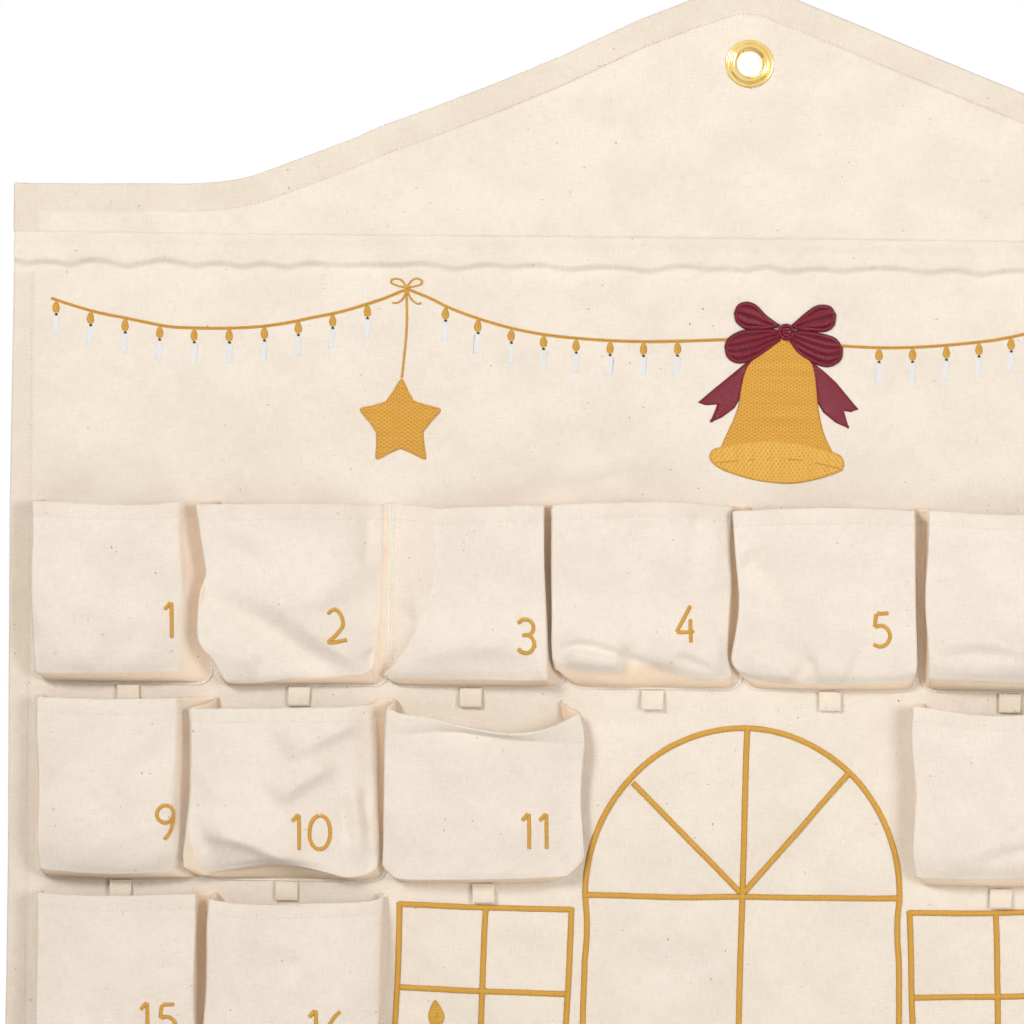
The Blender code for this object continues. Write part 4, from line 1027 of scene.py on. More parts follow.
# Of each pocket, as shares of the pitch: how far the left fold stands in at the mouth and at the foot,
# and the right fold likewise. As shares of the full depth: the left and the right fold. As shares of
# the height: how far the left and the right end of the foot are raised, and how far the mouth dips.
POCKET_SHARES = {
    1: (-0.03, -0.02, 0.19, 0.17, 0.95, 0.55, 0.07, 0.09, 0.02),
    2: (-0.08, -0.04, 0.03, 0.05, 0.95, 0.70, 0.06, 0.09, 0.00),
    3: (0.22, 0.08, 0.06, 0.05, 0.70, 0.95, 0.07, 0.07, 0.01),
    4: (-0.04, -0.03, 0.06, 0.07, 0.95, 0.85, 0.13, 0.08, 0.00),
    5: (-0.03, -0.03, 0.04, 0.05, 0.95, 0.90, 0.07, 0.08, 0.01),
    6: (0.02, 0.02, 0.10, 0.09, 0.95, 0.90, 0.09, 0.07, 0.02),
    7: (-0.06, -0.05, 0.06, 0.05, 0.95, 0.85, 0.06, 0.11, 0.01),
    8: (-0.03, -0.02, 0.03, 0.04, 0.95, 0.90, 0.08, 0.07, 0.03),
    9: (0.01, 0.02, 0.19, 0.20, 0.95, 0.80, 0.07, 0.06, 0.01),
    10: (-0.12, -0.14, 0.07, 0.10, 0.95, 0.85, 0.20, 0.06, 0.02),
    11: (-0.03, -0.03, -0.08, -0.07, 0.90, 0.95, 0.06, 0.06, 0.12),
    12: (-0.06, -0.04, 0.05, 0.06, 0.95, 0.90, 0.07, 0.10, 0.05),
    13: (-0.02, -0.01, 0.09, 0.08, 0.90, 0.85, 0.12, 0.07, 0.01),
    14: (-0.05, -0.05, 0.03, 0.03, 0.95, 0.90, 0.06, 0.08, 0.02),
    15: (0.02, 0.02, 0.07, 0.06, 0.95, 0.90, 0.07, 0.07, 0.01),
    16: (-0.03, -0.03, 0.02, 0.04, 0.95, 0.85, 0.09, 0.07, 0.01),
    17: (0.02, 0.03, 0.06, 0.07, 0.90, 0.90, 0.07, 0.12, 0.03),
    18: (-0.03, -0.03, 0.03, 0.03, 0.95, 0.90, 0.08, 0.06, 0.01),
    19: (-0.02, -0.02, 0.08, 0.07, 0.95, 0.85, 0.07, 0.10, 0.02),
    20: (-0.05, -0.04, 0.04, 0.05, 0.95, 0.85, 0.14, 0.07, 0.01),
    21: (-0.01, 0.01, 0.02, 0.03, 0.90, 0.95, 0.07, 0.07, 0.04),
    22: (0.02, 0.03, 0.06, 0.05, 0.95, 0.90, 0.06, 0.09, 0.01),
    23: (-0.03, -0.02, 0.08, 0.07, 0.95, 0.80, 0.10, 0.07, 0.02),
    24: (-0.05, -0.04, 0.03, 0.03, 0.95, 0.90, 0.07, 0.07, 0.00),
}


def default_shape(number, left, foot):
    """Curves of a pocket from its shares, with its own small folds."""
    gen = np.random.default_rng(100 + number)
    lt, ll, rt, rl, ld, rd, llift, rlift, dip = POCKET_SHARES[number]
    w, h = POCKET_W, POCKET_H

    def xl(v):
        return left + (ll + (lt - ll) * v) * PITCH

    def xr(v):
        return left + w - (rl + (rt - rl) * v) * PITCH

    def fold_line(at, depth, low, own, lean):
        """A fold between the front and a gusset, from its foot up."""
        return [(at(0) + lean, -depth * 0.62, low - 1), (at(.2) + own[0], -depth, foot + 24),
                (at(.5) + 1.6 * own[1], -depth - own[2], foot + 56), (at(.8) + own[3], -depth, foot + 88),
                (at(1), -depth, top)]

    zl, zr = foot + llift * h, foot + rlift * h
    top = foot + h - 0.6
    dl, dr = SHALLOW * 25.5 * ld + 1.0, SHALLOW * 25.5 * rd + 1.0
    wob = gen.uniform(-1, 1, 12)
    L, R = fold_line(xl, dl, zl, wob[:4], 1.5), fold_line(xr, dr, zr, wob[4:8], -1.5)
    mid = [.16, .36, .6, .84]
    M = [L[-1]] + [(xl(1) + (xr(1) - xl(1)) * s, -(dl + (dr - dl) * s) - 2.8 * math.sin(math.pi * s),
                    top - dip * h * math.sin(math.pi * s) ** 1.3 + 0.5 * wob[8] * math.sin(5 * s))
                   for s in mid] + [R[-1]]
    sag = 1.5 + wob[9]
    B = [L[0]] + [(L[0][0] + (R[0][0] - L[0][0]) * s, -(dl + (dr - dl) * s) - 1.5 * math.sin(math.pi * s),
                   zl + (zr - zl) * s - 1 - sag * math.sin(math.pi * s)) for s in mid] + [R[0]]
    folds = []
    for _ in range(3):
        x0, z0 = left + gen.uniform(12, 92), foot + gen.uniform(22, 95)
        turn, size = gen.uniform(-0.9, 0.9) + (math.pi if gen.random() < .5 else 0), gen.uniform(28, 62)
        bend = gen.uniform(-9, 9)
        path = [(x0 + (t - .5) * size * math.cos(turn) - 4 * t * (1 - t) * bend * math.sin(turn),
                 z0 + (t - .5) * size * math.sin(turn) + 4 * t * (1 - t) * bend * math.cos(turn))
                for t in (0, .25, .5, .75, 1)]
        folds.append((gen.choice([-1, 1]) * gen.uniform(1.2, 2.6), gen.uniform(7, 14), gen.uniform(6, 12),
                      path))
    if number in (6, 12, 17, 20, 23):
        s = 1 if number in (6, 17) else -1
        c = left + w / 2
        path = [(c - s * 48, foot + 27), (c - s * 24, foot + 31), (c, foot + 29), (c + s * 22, foot + 22),
                (c + s * 42, foot + 15)]
        folds.append((3.0, 4.5, 9, path if s > 0 else path[::-1]))
        folds.append((-2.4, 4.5, 5, [(x, z - 7) for x, z in (path[:4] if s > 0 else path[::-1][1:])]))
    return dict(L=L, R=R, M=M, B=B, folds=folds, belly=2.0 + gen.uniform(0, 1.2),
                gus=(3.0 + wob[10], 3.0 + wob[11]))


def fold_field(x, z, fold):
    """How far a fold lifts the cloth at X and Z."""
    amount, left_width, right_width, path = fold[:4]
    return lifted(x, z, amount, left_width, right_width, catmull(path, 24))


def by_share(points, shares, count=400):
    """Points of a smooth curve at shares of its length."""
    fine = catmull(points, count)
    even_shares = np.linspace(0, 1, count)
    return np.stack([np.interp(shares, even_shares, fine[:, k]) for k in range(fine.shape[1])], 1)


def coons(low, high, left, right, us, vs):
    """A surface between four lines, whose corners meet."""
    u, v = us[None, :, None], vs[:, None, None]
    ruled = (1 - v) * low[None] + v * high[None] + (1 - u) * left[:, None] + u * right[:, None]
    corners = (1 - u) * (1 - v) * low[0] + u * (1 - v) * low[-1] + (1 - u) * v * high[0] + u * v * high[-1]
    return ruled - corners


def relax(verts, quads, weight, rounds, rate=0.5):
    """Moves each vertex towards the middle of its neighbours, by its weight."""
    pairs = np.unique(np.sort(np.vstack([quads[:, [k, (k + 1) % 4]] for k in range(4)]), axis=1), axis=0)
    i, j = pairs[:, 0], pairs[:, 1]
    degree = np.bincount(np.concatenate([i, j]), minlength=len(verts))[:, None]
    for _ in range(rounds):
        total = np.zeros_like(verts)
        for k in range(3):
            total[:, k] = np.bincount(i, verts[j, k], len(verts)) + np.bincount(j, verts[i, k], len(verts))
        verts = verts + rate * weight[:, None] * (total / np.maximum(degree, 1) - verts)
    return verts


FRONTS = {}


def pocket(number, column, row):
    """One pocket of one sheet: its front, its gussets, its floor and its seam allowance on the panel."""
    left = (column - 4) * PITCH + 0.5
    foot = MOUTH_Z - row * ROW_PITCH - POCKET_H
    shape = default_shape(number, left, foot)
    known = SHAPES.get(number)
    if known:
        for key in "LBRM":
            if key in known:
                shape[key] = curve(known[key])
        shape["folds"] = [(FOLD_GAIN * a, b, c, course(path, FOLD_DEPTH)) for a, b, c,
                          path in known["folds"]]
        for key in ("belly", "gus", "floor"):
            if key in known:
                shape[key] = known[key]
        if number == 16:
            shape["L"][-1], shape["R"][-1] = tuple(shape["M"][0]), tuple(shape["M"][-1])
    L, B, R, M = (np.array(shape[k], float) for k in "LBRM")
    B[1:-1, 1] *= 0.72
    hem_v = 1 - HEM / POCKET_H
    vs = np.concatenate([[0, 0.005], np.linspace(0.014, hem_v - 0.012, NV - HEM_ROWS - 3),
                         [hem_v - 0.006, hem_v], np.linspace(hem_v + 0.008, 1, HEM_ROWS - 1)])
    us = np.linspace(0, 1, NU + 1)
    ss = np.concatenate([np.linspace(0, 0.94, NG), [1]])
    rows = len(vs)
    hem_row = NV - HEM_ROWS
    side_shares = [vs, vs]
    if known and "lip" in known:
        # This mouth lies folded outwards, down to the line of its hem.
        side_shares = [np.interp(vs, [0, hem_v, 1], [0, share, 1]) for share in known["lip_ends"]]
    l, r = by_share(L, side_shares[0]), by_share(R, side_shares[1])
    b, m = by_share(B, us), by_share(M, us)

    def corner_arc(degrees):
        """Places of the seam's rounded lower left corner."""
        wide, tall = CORNER - SIDE_SEAM, CORNER - FOOT_SEAM
        return [(CORNER - wide * math.cos(a), CORNER - tall * math.sin(a)) for a in np.radians(degrees)]

    def root(side):
        """The seam's line on the panel, from the middle of the foot's corner up."""
        line = np.array(corner_arc([45, 35, 25, 12, 0]) + [(SIDE_SEAM, CORNER + 1), (SIDE_SEAM, POCKET_H)])
        if side > 0:
            line[:, 0] = POCKET_W - line[:, 0]
        fine = even(line, 300)
        at = np.stack([np.interp(vs, np.linspace(0, 1, 300), fine[:, k]) for k in (0, 1)], 1)
        return at + [left, foot]

    def on_panel(xz):
        return np.stack([xz[:, 0], panel_y(xz[:, 0], xz[:, 1]) - GAP - 0.5, xz[:, 1]], 1)

    rl, rr = on_panel(root(-1)), on_panel(root(1))
    arc = corner_arc([45, 60, 75, 90])
    line = np.array(arc + [(POCKET_W - x, z) for x, z in arc[::-1]])
    rb = on_panel(even(line, NU + 1) + [left, foot])
    # The darts run from the seam's corner to the front's corner, and bow out a little.
    dl = rl[0] + (l[0] - rl[0]) * ss[:, None]
    dr = rr[0] + (r[0] - rr[0]) * ss[:, None]
    for dart in (dl, dr):
        dart[:, 2] -= 1.2 * np.sin(math.pi * ss)
    if known and "lip" in known:
        valley = curve(known["lip"])
        valley[0], valley[-1] = l[hem_row], r[hem_row]
        valley = by_share(valley, us)
        front = coons(b, valley, l[:hem_row + 1], r[:hem_row + 1], us, vs[:hem_row + 1] / hem_v)
        above = coons(valley, m, l[hem_row:], r[hem_row:], us, (vs[hem_row:] - hem_v) / (1 - hem_v))
        front = np.concatenate([front, above[1:]])
    else:
        front = coons(b, m, l, r, us, vs)
    # The mouth's ends of the gussets sink in a little.
    ml = rl[-1] + (l[-1] - rl[-1]) * ss[:, None]
    mr = rr[-1] + (r[-1] - rr[-1]) * ss[:, None]
    gl, gr = shape["gus"]
    gusset_l = coons(dl, ml, rl, l, ss, vs)
    gusset_r = coons(dr, mr, rr, r, ss, vs)
    deep = (0.35 + 0.65 * smooth(vs * 1.3))[:, None] * np.sin(math.pi * ss)[None] ** 0.9
    gusset_l[..., 0] += gl * deep
    gusset_r[..., 0] -= gr * deep
    for fold in (known or {}).get("side", []):
        path = course(fold[3], GUSSET_DEPTH)
        lift = fold_field(gusset_l[..., 0], gusset_l[..., 2],
                          (*fold[:3], path)) * np.sin(math.pi * ss)[None]
        gusset_l[..., 0] -= 0.6 * lift
        gusset_l[..., 1] -= 0.8 * lift
    floor = coons(rb, b, dl, dr, us, ss)
    round_floor = np.sin(math.pi * us)[None] ** 0.4 * shape.get("floor", 0.55)
    floor[..., 1] += ((1 - (1 - ss) ** 2.2 - ss)[:, None] * round_floor) * (b - rb)[None, :, 1]
    floor[..., 2] += ((ss ** 2.2 - ss)[:, None] * round_floor) * (b - rb)[None, :, 2]
    # The front: its belly, its folds and a faint creasing.
    x, z = front[..., 0], front[..., 2]
    edge = np.clip(np.minimum(us, 1 - us) / 0.05, 0, 1)[None] * np.ones_like(x)
    low = 0.4 + 0.6 * smooth(vs / 0.05)[:, None]
    high = (1 - 0.55 * smooth((vs - 0.86) / 0.14))[:, None]
    bulge = 0.45 + 0.55 * np.exp(-((vs - 0.32) / 0.33) ** 2)
    belly = shape["belly"] * np.sin(math.pi * us)[None] ** 0.8 * bulge[:, None]
    lift = belly * low
    for fold in shape["folds"]:
        lift = lift + fold_field(x, z, fold) * (0.25 + 0.75 * edge) * (0.3 + 0.7 * low) * high
    lift = lift + 0.22 * wave(x, z, 300 + number, 26, 2) * edge * low + 0.45 * wave(x, z, 600 + number, 60,
            2) * edge * low * high
    front[..., 1] -= lift
    # One surface of the front, gussets and floor, welded.
    main = np.concatenate([gusset_l[:, :-1], front, gusset_r[:, ::-1][:, 1:]], axis=1)
    columns = main.shape[1]
    index = np.arange(rows * columns).reshape(rows, columns)
    verts = [main.reshape(-1, 3)]
    count = rows * columns
    f_index = np.zeros((NG + 1, NU + 1), int)
    f_index[NG] = index[0, NG:NG + NU + 1]
    f_index[:, 0] = index[0, :NG + 1]
    f_index[:, NU] = index[0, NG + NU:][::-1]
    f_index[:NG, 1:NU] = count + np.arange(NG * (NU - 1)).reshape(NG, NU - 1)
    verts.append(floor[:NG, 1:NU].reshape(-1, 3))
    count += NG * (NU - 1)
    path = np.concatenate([index[::-1, 0], f_index[0, 1:NU], index[:, -1]])
    welded = np.vstack(verts)
    at = welded[path][:, [0, 2]] - [left, foot]
    away = np.zeros_like(at)
    corner_l = (at[:, 0] < CORNER) & (at[:, 1] < CORNER)
    corner_r = (at[:, 0] > POCKET_W - CORNER) & (at[:, 1] < CORNER)
    away[at[:, 0] < POCKET_W / 2] = (-1, 0)
    away[at[:, 0] >= POCKET_W / 2] = (1, 0)
    away[(at[:, 1] <= FOOT_SEAM + 0.01)] = (0, -1)
    away[corner_l] = at[corner_l] - [CORNER, CORNER]
    away[corner_r] = at[corner_r] - [POCKET_W - CORNER, CORNER]
    away /= np.linalg.norm(away, axis=1, keepdims=True)
    flange = []
    reach = (1.0, 0.9, 0.56, 0.4, 0.24, 0.1)
    wide = (away ** 2 * [SIDE_SEAM + 0.38, FOOT_SEAM + 0.1]).sum(1, keepdims=True)
    for out in reach:
        xz = at + away * wide * out + [left, foot]
        y = panel_y(xz[:, 0], xz[:, 1]) - GAP - 0.45 + 0.12 * math.exp(-((out - 0.4) / 0.12) ** 2)
        flange.append(np.stack([xz[:, 0], y, xz[:, 1]], 1))
    flange = np.array(flange)
    r_index = np.vstack([count + np.arange(len(reach) * len(path)).reshape(len(reach), -1), path[None]])
    count += len(reach) * len(path)
    verts.append(flange.reshape(-1, 3))
    verts = np.vstack(verts)

    quads = np.vstack([quads_of(index), quads_of(f_index), quads_of(r_index)])
    weight = np.ones(len(verts))
    weight[index[:, NG:NG + NU + 1]] = 0.25
    weight[index[:2, NG:NG + NU + 1]] = 0.04
    weight[f_index[NG - 2:NG, 1:NU]] = 0.1
    if number in (1, 3, 9):
        # The right edge of these is rolled round.
        weight[index[:, NG + NU - 8:]] = 1
    weight[path] = 0
    weight[r_index[:-1].ravel()] = 0
    weight[index[-1]] = 0.25
    weight[index[-1, [0, -1]]] = 0
    verts = relax(verts, quads, weight, 5)
    normal = normals_of(verts, quads)
    groove = index[hem_row]
    verts[groove] -= normal[groove] * 0.22
    verts[index[hem_row + 1]] -= normal[index[hem_row + 1]] * 0.05

    # UV in millimetres along the cloth.
    uv = np.zeros((len(verts), 2))
    grid = verts[index]
    du = np.linalg.norm(np.diff(grid, axis=1), axis=2).mean(0)
    dv = np.linalg.norm(np.diff(grid, axis=0), axis=2).mean(1)
    cu, cv = np.concatenate([[0], np.cumsum(du)]), np.concatenate([[0], np.cumsum(dv)])
    cu, cv = cu - cu.mean(), cv - cv[0]
    shift = number * 137.0
    uv[index] = np.stack(np.meshgrid(cu, cv), -1) + [shift, 0]
    inner_floor = f_index[:NG, 1:NU]
    uv[inner_floor] = np.stack(np.meshgrid(cu[NG + 1:NG + NU], (ss[:NG] - 1) * FLOOR_DEEP), -1) + [shift, 0]
    uv[r_index[:-1]] = flange[..., [0, 2]] + [shift + 61, 300]
    thick = np.full(len(verts), 0.9)
    thick[index[hem_row + 1:]] = 1.8
    thick[index[hem_row + 1:][:, [0, -1]]] = 0.9
    thick[r_index.ravel()] = 0.45
    made, faces, used = thicken(verts, quads, thick)
    # Painted shade: cloth near the panel, at the sides and the floor, is coloured warmer and darker,
    # standing in for its shade and the warm light it takes from cloth around it.
    inward = np.clip((-verts[:, 1] - 2.0) / 20.0, 0, 1)
    warm = np.zeros(len(verts))
    warm[index[:, :NG]] = 1
    warm[index[:, NG + NU + 1:]] = 1
    warm[f_index[:NG]] = 0.8
    warm *= 0.6 * (1 - inward)
    if number == 3:
        warm[index[:, :NG]] *= 0.25
    warm[f_index[:NG, 1:NU]] = 0.8
    # Painted shade: the doubled hem band is coloured a little darker.
    doubled_cloth_painted_shade = np.zeros(len(verts))
    doubled_cloth_painted_shade[index[hem_row + 1:, NG:NG + NU + 1]] = 0.25
    values = {"deep": np.concatenate([warm, warm + 0.3, warm[used]]),
              "doubled_cloth_painted_shade": np.concatenate([doubled_cloth_painted_shade, doubled_cloth_painted_shade, doubled_cloth_painted_shade[used]])}
    obj = make(f"pocket_{number:02d}_cloth", made, [faces], pocket_canvas, uv=with_uv(uv, used, 51.0),
               values=values)
    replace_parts(obj, f"pocket_{number:02d}")
    FRONTS[number] = (verts[index[:, NG:NG + NU + 1]], normal[index[:, NG:NG + NU + 1]])
    flange_line = flange[3]
    facing = np.tile([0, -1.0, 0], (len(path), 1))
    stitch_line("pocket_stitches", flange_line, facing)
    stitch_line("pocket_stitches", verts[groove][1:-1], normal[groove][1:-1])
    flat_w = float(cu[-1] - cu[0]) + 8
    flat_h = float(cv[-1]) + FLOOR_DEEP + 4 + HEM
    q = verts[quads]
    area = float(np.linalg.norm(np.cross(q[:, 2] - q[:, 0], q[:, 3] - q[:, 1]), axis=1).sum() / 2)
    return obj, flat_w, flat_h, area


number = 0
POCKETS = {}
for row, columns in enumerate(ROW_COLUMNS):
    for column in columns:
        number += 1
        POCKETS[number] = (column, row)

panel, roof, sleeve = body_panel(), roof_panel(), rod_sleeve()
eyelet()
dowel()
for number, (column, row) in POCKETS.items():
    obj, flat_w, flat_h, area = pocket(number, column, row)

# Tape loops

def tape_loop(number):
    low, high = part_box(f"tape_loop_{number:02d}")
    x0, top, y0 = (low.x + high.x) / 2 / MM, high.z / MM, (low.y + high.y) / 2 / MM
    drop = (high.z - low.z) / MM + 1.2
    forward = FRONT - float(panel_y(x0, top))
    slim = max(0.0, forward - 0.1)
    y0 -= forward - slim
    back = max(0.15, 1.0 - slim)
    top -= 0.5 * min(1.0, 2.0 * slim)
    gen = np.random.default_rng(500 + number)
    lean = gen.uniform(-0.5, 0.5)
    path = [(y0 - 0.55, top - 0.1), (y0 - 0.62, top - 1.6), (y0 - 1.0, top - 4.5), (y0 - 1.15, top - 8.0),
            (y0 - 0.85, top - drop + 0.9), (y0, top - drop + 0.05), (y0 + 0.8 * back, top - drop + 0.9),
            (y0 + back, top - 7.5), (y0 + 0.85 * back, top - 4.5), (y0 + 0.45 * back, top - 1.6),
            (y0 + 0.4 * back, top - 0.1)]
    line = catmull(path, 44)
    us = np.array([-6.5, -6.3, -5.9, -5.3, -4.4, -2.2, 0, 2.2, 4.4, 5.3, 5.9, 6.3, 6.5])
    u, k = np.meshgrid(us, np.arange(len(line)))
    share = k / (len(line) - 1)
    x = x0 + u * (1 - 0.012 * np.sin(share * math.pi) * 2) + lean * np.sin(share * math.pi)
    edge, dip = np.abs(u) - 5.9, np.abs(u) - 5.1
    selvedge = 0.10 * np.exp(-(edge / 0.35) ** 2) - 0.10 * np.exp(-(dip / 0.3) ** 2)
    out = outward_of(line)
    y = line[k, 0] + out[k, 0] * selvedge + 0.08 * np.sin(u * 0.9 + number) * np.sin(share * math.pi)
    z = line[k, 1] + out[k, 1] * selvedge
    verts = np.stack([x, y, z], -1).reshape(-1, 3)
    quads = grid_faces(len(line), len(us), flip=True)
    made, faces, used = thicken(verts, quads, 0.62)
    run = run_along(line)
    uv = np.stack([u.ravel() + number * 19, np.repeat(run, len(us))], 1)
    obj = make(f"loop_tape_{number:02d}", made, [faces], tape, uv=with_uv(uv, used, 13.0),
               body=f"loop_{number:02d}")
    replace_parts(obj, f"tape_loop_{number:02d}")


for number in POCKETS:
    tape_loop(number)

# Embroidery

def satin(heap, path, normals, width, height=0.95, across=7, pitch=0.9, ends=0.55, seed=0, wobble=0.06,
          shift=0.0, tone=0.0):
    """A band of satin stitches along a path, with half its width at each point or one for all."""
    path, normals = np.asarray(path, float), np.asarray(normals, float)
    whole = length(path)
    count = max(6, int(whole / pitch))
    width = np.broadcast_to(np.asarray(width, float), len(path))
    both = even(np.hstack([path, normals, width[:, None]]), count)
    at, up, half = both[:, :3], both[:, 3:6], both[:, 6].copy()
    tangent = np.gradient(at, axis=0)
    tangent /= np.linalg.norm(tangent, axis=1, keepdims=True) + 1e-9
    up = up / (np.linalg.norm(up, axis=1, keepdims=True) + 1e-9)
    side = np.cross(up, tangent)
    side /= np.linalg.norm(side, axis=1, keepdims=True) + 1e-9
    gen = np.random.default_rng(seed + count)
    left = half * (1 + wobble * gen.uniform(-1, 1, count))
    right = half * (1 + wobble * gen.uniform(-1, 1, count))
    run = np.linspace(0, whole, count)
    near = np.minimum(run, whole - run)
    cap = np.clip(near / (np.maximum(half, 0.3) * ends + 1e-6), 0, 1)
    cap = np.sqrt(1 - (1 - cap) ** 2) * 0.9 + 0.1
    a = np.linspace(-1, 1, across)
    a = np.sign(a) * np.abs(a) ** 0.8
    reach = np.where(a < 0, left[:, None], right[:, None]) * a[None] * cap[:, None]
    rise = (height * np.sqrt(np.clip(1 - a[None] ** 2, 0, 1)) * cap[:, None] - 0.18)
    rise = rise * (1 + 0.04 * gen.uniform(-1, 1, (count, 1)))
    verts = at[:, None] + side[:, None] * reach[..., None] + up[:, None] * rise[..., None]
    uv = np.stack([reach + shift, np.broadcast_to(run[:, None], reach.shape)], -1)
    # Painted shade: the band is coloured darker towards its edges; tone darkens all of it.
    shade = 0.5 * np.abs(a[None]) ** 4 * np.ones((count, 1)) + tone
    heap.add(verts.reshape(-1, 3), grid_faces(count, across, closed=True, flip=True), uv=uv.reshape(-1, 2),
             shade=shade.ravel())


def panel_satin(heap, points, width, **more):
    """A band of satin stitches on the panel along points of X and Z."""
    at, facing = panel_line(points, max(8, int(length(points) / 1.0)))
    if np.ndim(width):
        width = np.interp(np.linspace(0, 1, len(at)), np.linspace(0, 1, len(width)), width)
    satin(heap, at, facing, width, **more)


def inside(points, outline):
    """Which of the points are within a closed outline."""
    x, z = points[:, 0][:, None], points[:, 1][:, None]
    a, b = outline, np.roll(outline, -1, axis=0)
    crosses = ((a[:, 1] > z) != (b[:, 1] > z)) & (x < (b[:, 0] - a[:, 0]) * (z - a[:, 1])
                                                  / (b[:, 1] - a[:, 1] + 1e-12) + a[:, 0])
    return crosses.sum(1) % 2 == 1


def fill(heap, outline, height=1.0, edge=1.1, grid=1.5, lift=0.0, uv_of=None, dome=0.0, tone=0.0):
    """A filled shape of stitches on the panel, with its edge rounded down."""
    outline = np.asarray(outline, float)
    low, high = outline.min(0), outline.max(0)
    gx, gz = np.meshgrid(np.arange(low[0], high[0], grid), np.arange(low[1], high[1], grid))
    gx = gx + (np.arange(gx.shape[0]) % 2)[:, None] * grid / 2
    inner = np.stack([gx.ravel(), gz.ravel()], 1)
    tangent = np.roll(outline, -1, axis=0) - np.roll(outline, 1, axis=0)
    tangent /= np.linalg.norm(tangent, axis=1, keepdims=True) + 1e-9
    sideways = np.stack([-tangent[:, 1], tangent[:, 0]], 1)
    rings = [outline + sideways * s * d for d in (0.22 * edge, 0.55 * edge, 1.0 * edge) for s in (-1, 1)]
    points = np.vstack([*rings, inner])
    keep = inside(points, outline)
    points = points[keep]
    distance = edge_distance(points, outline)
    points = points[distance > 0.16 * edge]
    source = [Vector(p) for p in np.vstack([outline, points])]
    n = len(outline)
    made = delaunay_2d_cdt(source, [], [list(range(n))], 1, 1e-5)
    flat = np.array([tuple(v) for v in made[0]])
    tris = np.array([f for f in made[2] if len(f) == 3], int)
    under = delaunay_2d_cdt([Vector(p) for p in outline], [], [list(range(n))], 1, 1e-5)
    under_tris = np.array([f for f in under[2] if len(f) == 3], int)
    under_flat = np.array([tuple(v) for v in under[0]])
    def face_up(points2, tri, sign):
        a, b, c = (points2[tri[:, k]] for k in range(3))
        turn = (b[:, 0] - a[:, 0]) * (c[:, 1] - a[:, 1]) - (b[:, 1] - a[:, 1]) * (c[:, 0] - a[:, 0])
        swap = turn * sign < 0
        tri = tri.copy()
        tri[swap] = tri[swap][:, ::-1]
        return tri
    tris, under_tris = face_up(flat, tris, 1), face_up(under_flat, under_tris, -1)
    distance = edge_distance(flat, outline)
    rise = height * np.sqrt(np.clip(1 - (1 - np.clip(distance / edge, 0, 1)) ** 2, 0,
                                    1)) + dome * smooth(distance / 9)
    y = panel_y(flat[:, 0], flat[:, 1]) - lift - rise + 0.08
    uv = flat if uv_of is None else uv_of(flat)
    # Painted shade: the rounded-down edge is coloured darker.
    shade = np.clip(0.7 * (1 - distance / (0.7 * edge)), 0, 1) + tone
    heap.add(np.stack([flat[:, 0], y, flat[:, 1]], 1), tris=tris, uv=uv, shade=shade)
    uy = panel_y(under_flat[:, 0], under_flat[:, 1]) - lift + 0.09
    heap.add(np.stack([under_flat[:, 0], uy, under_flat[:, 1]], 1), tris=under_tris, uv=under_flat)


def ring_points(points, per=1.2):
    """A closed smooth outline through the points."""
    points = np.asarray(points, float)
    looped = np.vstack([points[-2:], points, points[:3]])
    line = catmull(looped, 60 * len(looped))
    a = np.linalg.norm(line - points[0], axis=1)
    half = len(line) // 2
    start = a[:half].argmin()
    stop = half + a[half:].argmin()
    piece = line[start:stop + 1]
    return even(piece, max(12, int(length(piece) / per)))[:-1]


def corner_points(points, per=1.2):
    """A closed outline of straight sides through the points."""
    points = np.asarray(points, float)
    out = []
    for a, b in zip(points, np.roll(points, -1, axis=0)):
        count = max(1, int(np.linalg.norm(b - a) / per))
        out += [a + (b - a) * k / count for k in range(count)]
    return np.array(out)


# The garland's course in pixels of the photograph, with its mirrored half, and the bow's middle
SWAG_LEFT = ((50.8, 298), (74.7, 305.9), (98.6, 312.6), (122.5, 317.4), (146.4, 322.4), (170, 326.7),
             (193.9, 327.9), (217.8, 328.3), (241.7, 327.8), (265.7, 326), (289.6, 322.4), (313.5, 317.4),
             (337.4, 312.6), (361.3, 305.9), (385.2, 298), (407, 289))
SWAG_MIDDLE = ((407, 289), (430.2, 298.4), (450.3, 308.3), (479.3, 319), (512.8, 328.6), (546.3, 335.0),
               (579.7, 338.6), (613.2, 340.8), (646.7, 341.6), (680.2, 341.1), (724.8, 339.7), (786, 338.5))
BOW_X, BOW_Z = 23.5, -161.0
MIRROR = 18.0
KNOT_X, KNOT_Z = seen(406.7, 287.5)
KNOTS = (KNOT_X, MIRROR - KNOT_X)
CANDLES_LEFT = (56.5, 91, 125.6, 160.2, 194.7, 230, 264.9, 298.7, 333, 367.7)
CANDLES_MIDDLE = (445.8, 478.4, 511.7, 544, 576.6, 610.5, 644, 678)
CANDLE_ROW = 330


def swags():
    """The four parts of the garland, each a smooth line of X and Z."""
    left, middle = [seen(*p) for p in SWAG_LEFT], [seen(*p) for p in SWAG_MIDDLE]
    narrow = (KNOTS[1] - BOW_X) / (BOW_X - KNOTS[0])
    right = [(BOW_X + (BOW_X - x) * narrow, z - 3.0 * math.exp(-((BOW_X - x - 45) / 60) ** 2)) for x,
             z in middle[::-1]]
    far = [(MIRROR - x, z) for x, z in left[::-1]]
    return [catmull(part, 80) for part in (left, middle, right, far)]


GARLAND = swags()


def garland_z(x):
    line = np.vstack(GARLAND)
    return np.interp(x, line[:, 0], line[:, 1])


# The left star's tips and notches, the bow's middle and the windows, in pixels of the photograph
STAR = ((401.8, 377), (413.7, 401), (442.5, 409), (423, 432), (426.5, 460.6), (400, 448.4), (375.6, 460.6),
        (376.5, 432.5), (358.4, 408.8), (386.2, 401.5))


